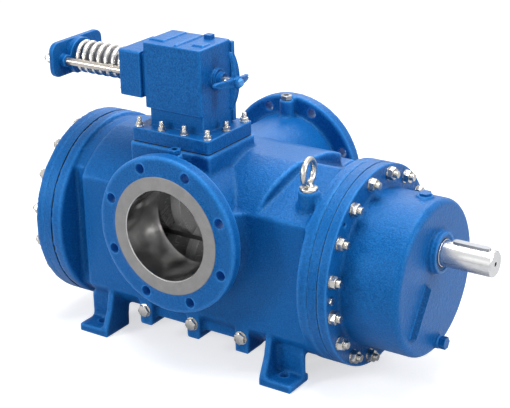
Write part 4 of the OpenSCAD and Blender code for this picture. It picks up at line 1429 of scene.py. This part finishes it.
@dataclass
class Studio:
    """Camera, lights, floor and background."""

    eye: Spot = (1646.4, -2321.7, 1432.4)
    target: Spot = (68.7, 0, 309.7)
    roll: float = -1.3
    lens: float = 98.7
    lights: tuple[tuple[str, Spot, Spot, float, float], ...] = (
        ("top", (100, 100, 3000), (0, 0, 300), 1800, 96),
        ("key", (-1700, -2500, 1500), (0, 0, 250), 900, 42),
        ("side", (3000, 300, 1300), (200, 0, 250), 1300, 46),
        ("front", (900, -3200, 700), (0, 0, 250), 1800, 16),
        ("back", (-900, 2600, 2600), (0, 0, 300), 1600, 30),
    )
    floor_half: float = 12000
    floor_tone: float = 0.64
    floor_glow: float = 0.62
    sky: Colour = (0.80, 0.86, 1.0)
    sky_light: float = 0.30

    def build(self) -> None:
        """Sets the studio up."""
        self.camera()
        for name, spot, aim, size, power in self.lights:
            self.lamp(name, spot, aim, size, power)
        self.floor()
        self.world()
        bpy.context.scene.view_settings.view_transform = "Standard"

    def camera(self) -> None:
        """Puts the camera where the photograph was taken."""
        data = bpy.data.cameras.new("camera")
        data.lens = self.lens
        data.sensor_width = 36
        data.sensor_fit = "HORIZONTAL"
        data.clip_end = 50
        made = linked(bpy.data.objects.new("camera", data))
        back = (Vector(self.eye) - Vector(self.target)).normalized()
        right = Vector((0, 0, 1)).cross(back).normalized()
        turn = Matrix((right, back.cross(right), back)).transposed().to_4x4()
        spin = turned(self.roll)
        made.matrix_world = Matrix.Translation(Vector(self.eye) * MM) @ turn @ spin
        bpy.context.scene.camera = made

    @staticmethod
    def lamp(name: str, spot: Spot, aim: Spot, size: float, power: float) -> None:
        """Hangs a square softbox.

        Args:
            name: The lamp's name.
            spot: Where it hangs.
            aim: What it is turned to.
            size: Its side.
            power: Its power in watts.
        """
        data = bpy.data.lights.new(name, "AREA")
        data.shape = "SQUARE"
        data.size = size * MM
        data.energy = power
        made = linked(bpy.data.objects.new(name, data))
        made.location = Vector(spot) * MM
        made.rotation_euler = (Vector(aim) - Vector(spot)).to_track_quat("-Z", "Y").to_euler()

    def floor(self) -> None:
        """Lays a pale floor that the camera sees white, with the pump's shadow on it."""
        bench = Bench()
        bmesh.ops.create_grid(bench.bm, x_segments=1, y_segments=1, size=self.floor_half)
        mesh = bench.metres("floor")
        material = bpy.data.materials.new("floor")
        desk = NodeDesk(material)
        desk.wear({"Base Color": (self.floor_tone,) * 3, "Roughness": 0.9, "Specular IOR Level": 0.1})
        glow = desk.node("ShaderNodeEmission", {}, {"Color": (1, 1, 1), "Strength": self.floor_glow})
        both = desk.node("ShaderNodeAddShader", {}, {0: desk.shader.outputs[0], 1: glow.outputs[0]})
        desk.switch(self.ray(desk, "Camera"), both)
        mesh.materials.append(material)
        linked(bpy.data.objects.new("floor", mesh))

    def world(self) -> None:
        """Fills the background with white for the camera and reflections and soft light for the rest."""
        world = bpy.data.worlds.new("studio")
        desk = NodeDesk(world)
        desk.wear({"Color": self.sky, "Strength": self.sky_light})
        white = desk.node("ShaderNodeBackground", {}, {"Color": (1, 1, 1), "Strength": 1.0})
        desk.switch(desk.maths("MAXIMUM", self.ray(desk, "Camera"), self.ray(desk, "Glossy")), white)
        bpy.context.scene.world = world

    @staticmethod
    def ray(desk: NodeDesk, kind: str) -> Signal:
        """Returns 1 for rays of a kind and 0 for others."""
        return Signal(desk, desk.node("ShaderNodeLightPath").outputs[f"Is {kind} Ray"])


def main() -> None:
    """Builds the studio and every piece in order."""
    logging.basicConfig(level=logging.INFO, format="%(message)s")
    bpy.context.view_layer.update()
    Studio().build()
    PumpCasing().build()
    Casting("gear_case_cover", voxel=2.2, passes=2, triangles=150000).build()
    Casting("non_drive_end_cover", voxel=3.0, passes=4, triangles=90000).build()
    DrumRib().build()
    Fastenings().build()
    Screws().build()
    ReliefValve().build()
    Handle().build()
    for finish, nodes in KEPT.items():
        for node in nodes:
            dress(node, finish)


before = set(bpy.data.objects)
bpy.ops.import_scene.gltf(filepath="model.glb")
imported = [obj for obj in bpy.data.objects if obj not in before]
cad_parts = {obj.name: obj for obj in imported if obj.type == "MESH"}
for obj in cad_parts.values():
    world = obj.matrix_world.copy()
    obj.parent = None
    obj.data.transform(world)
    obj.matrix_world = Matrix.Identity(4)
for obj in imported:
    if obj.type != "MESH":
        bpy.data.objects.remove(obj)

if __name__ == "__main__":
    main()
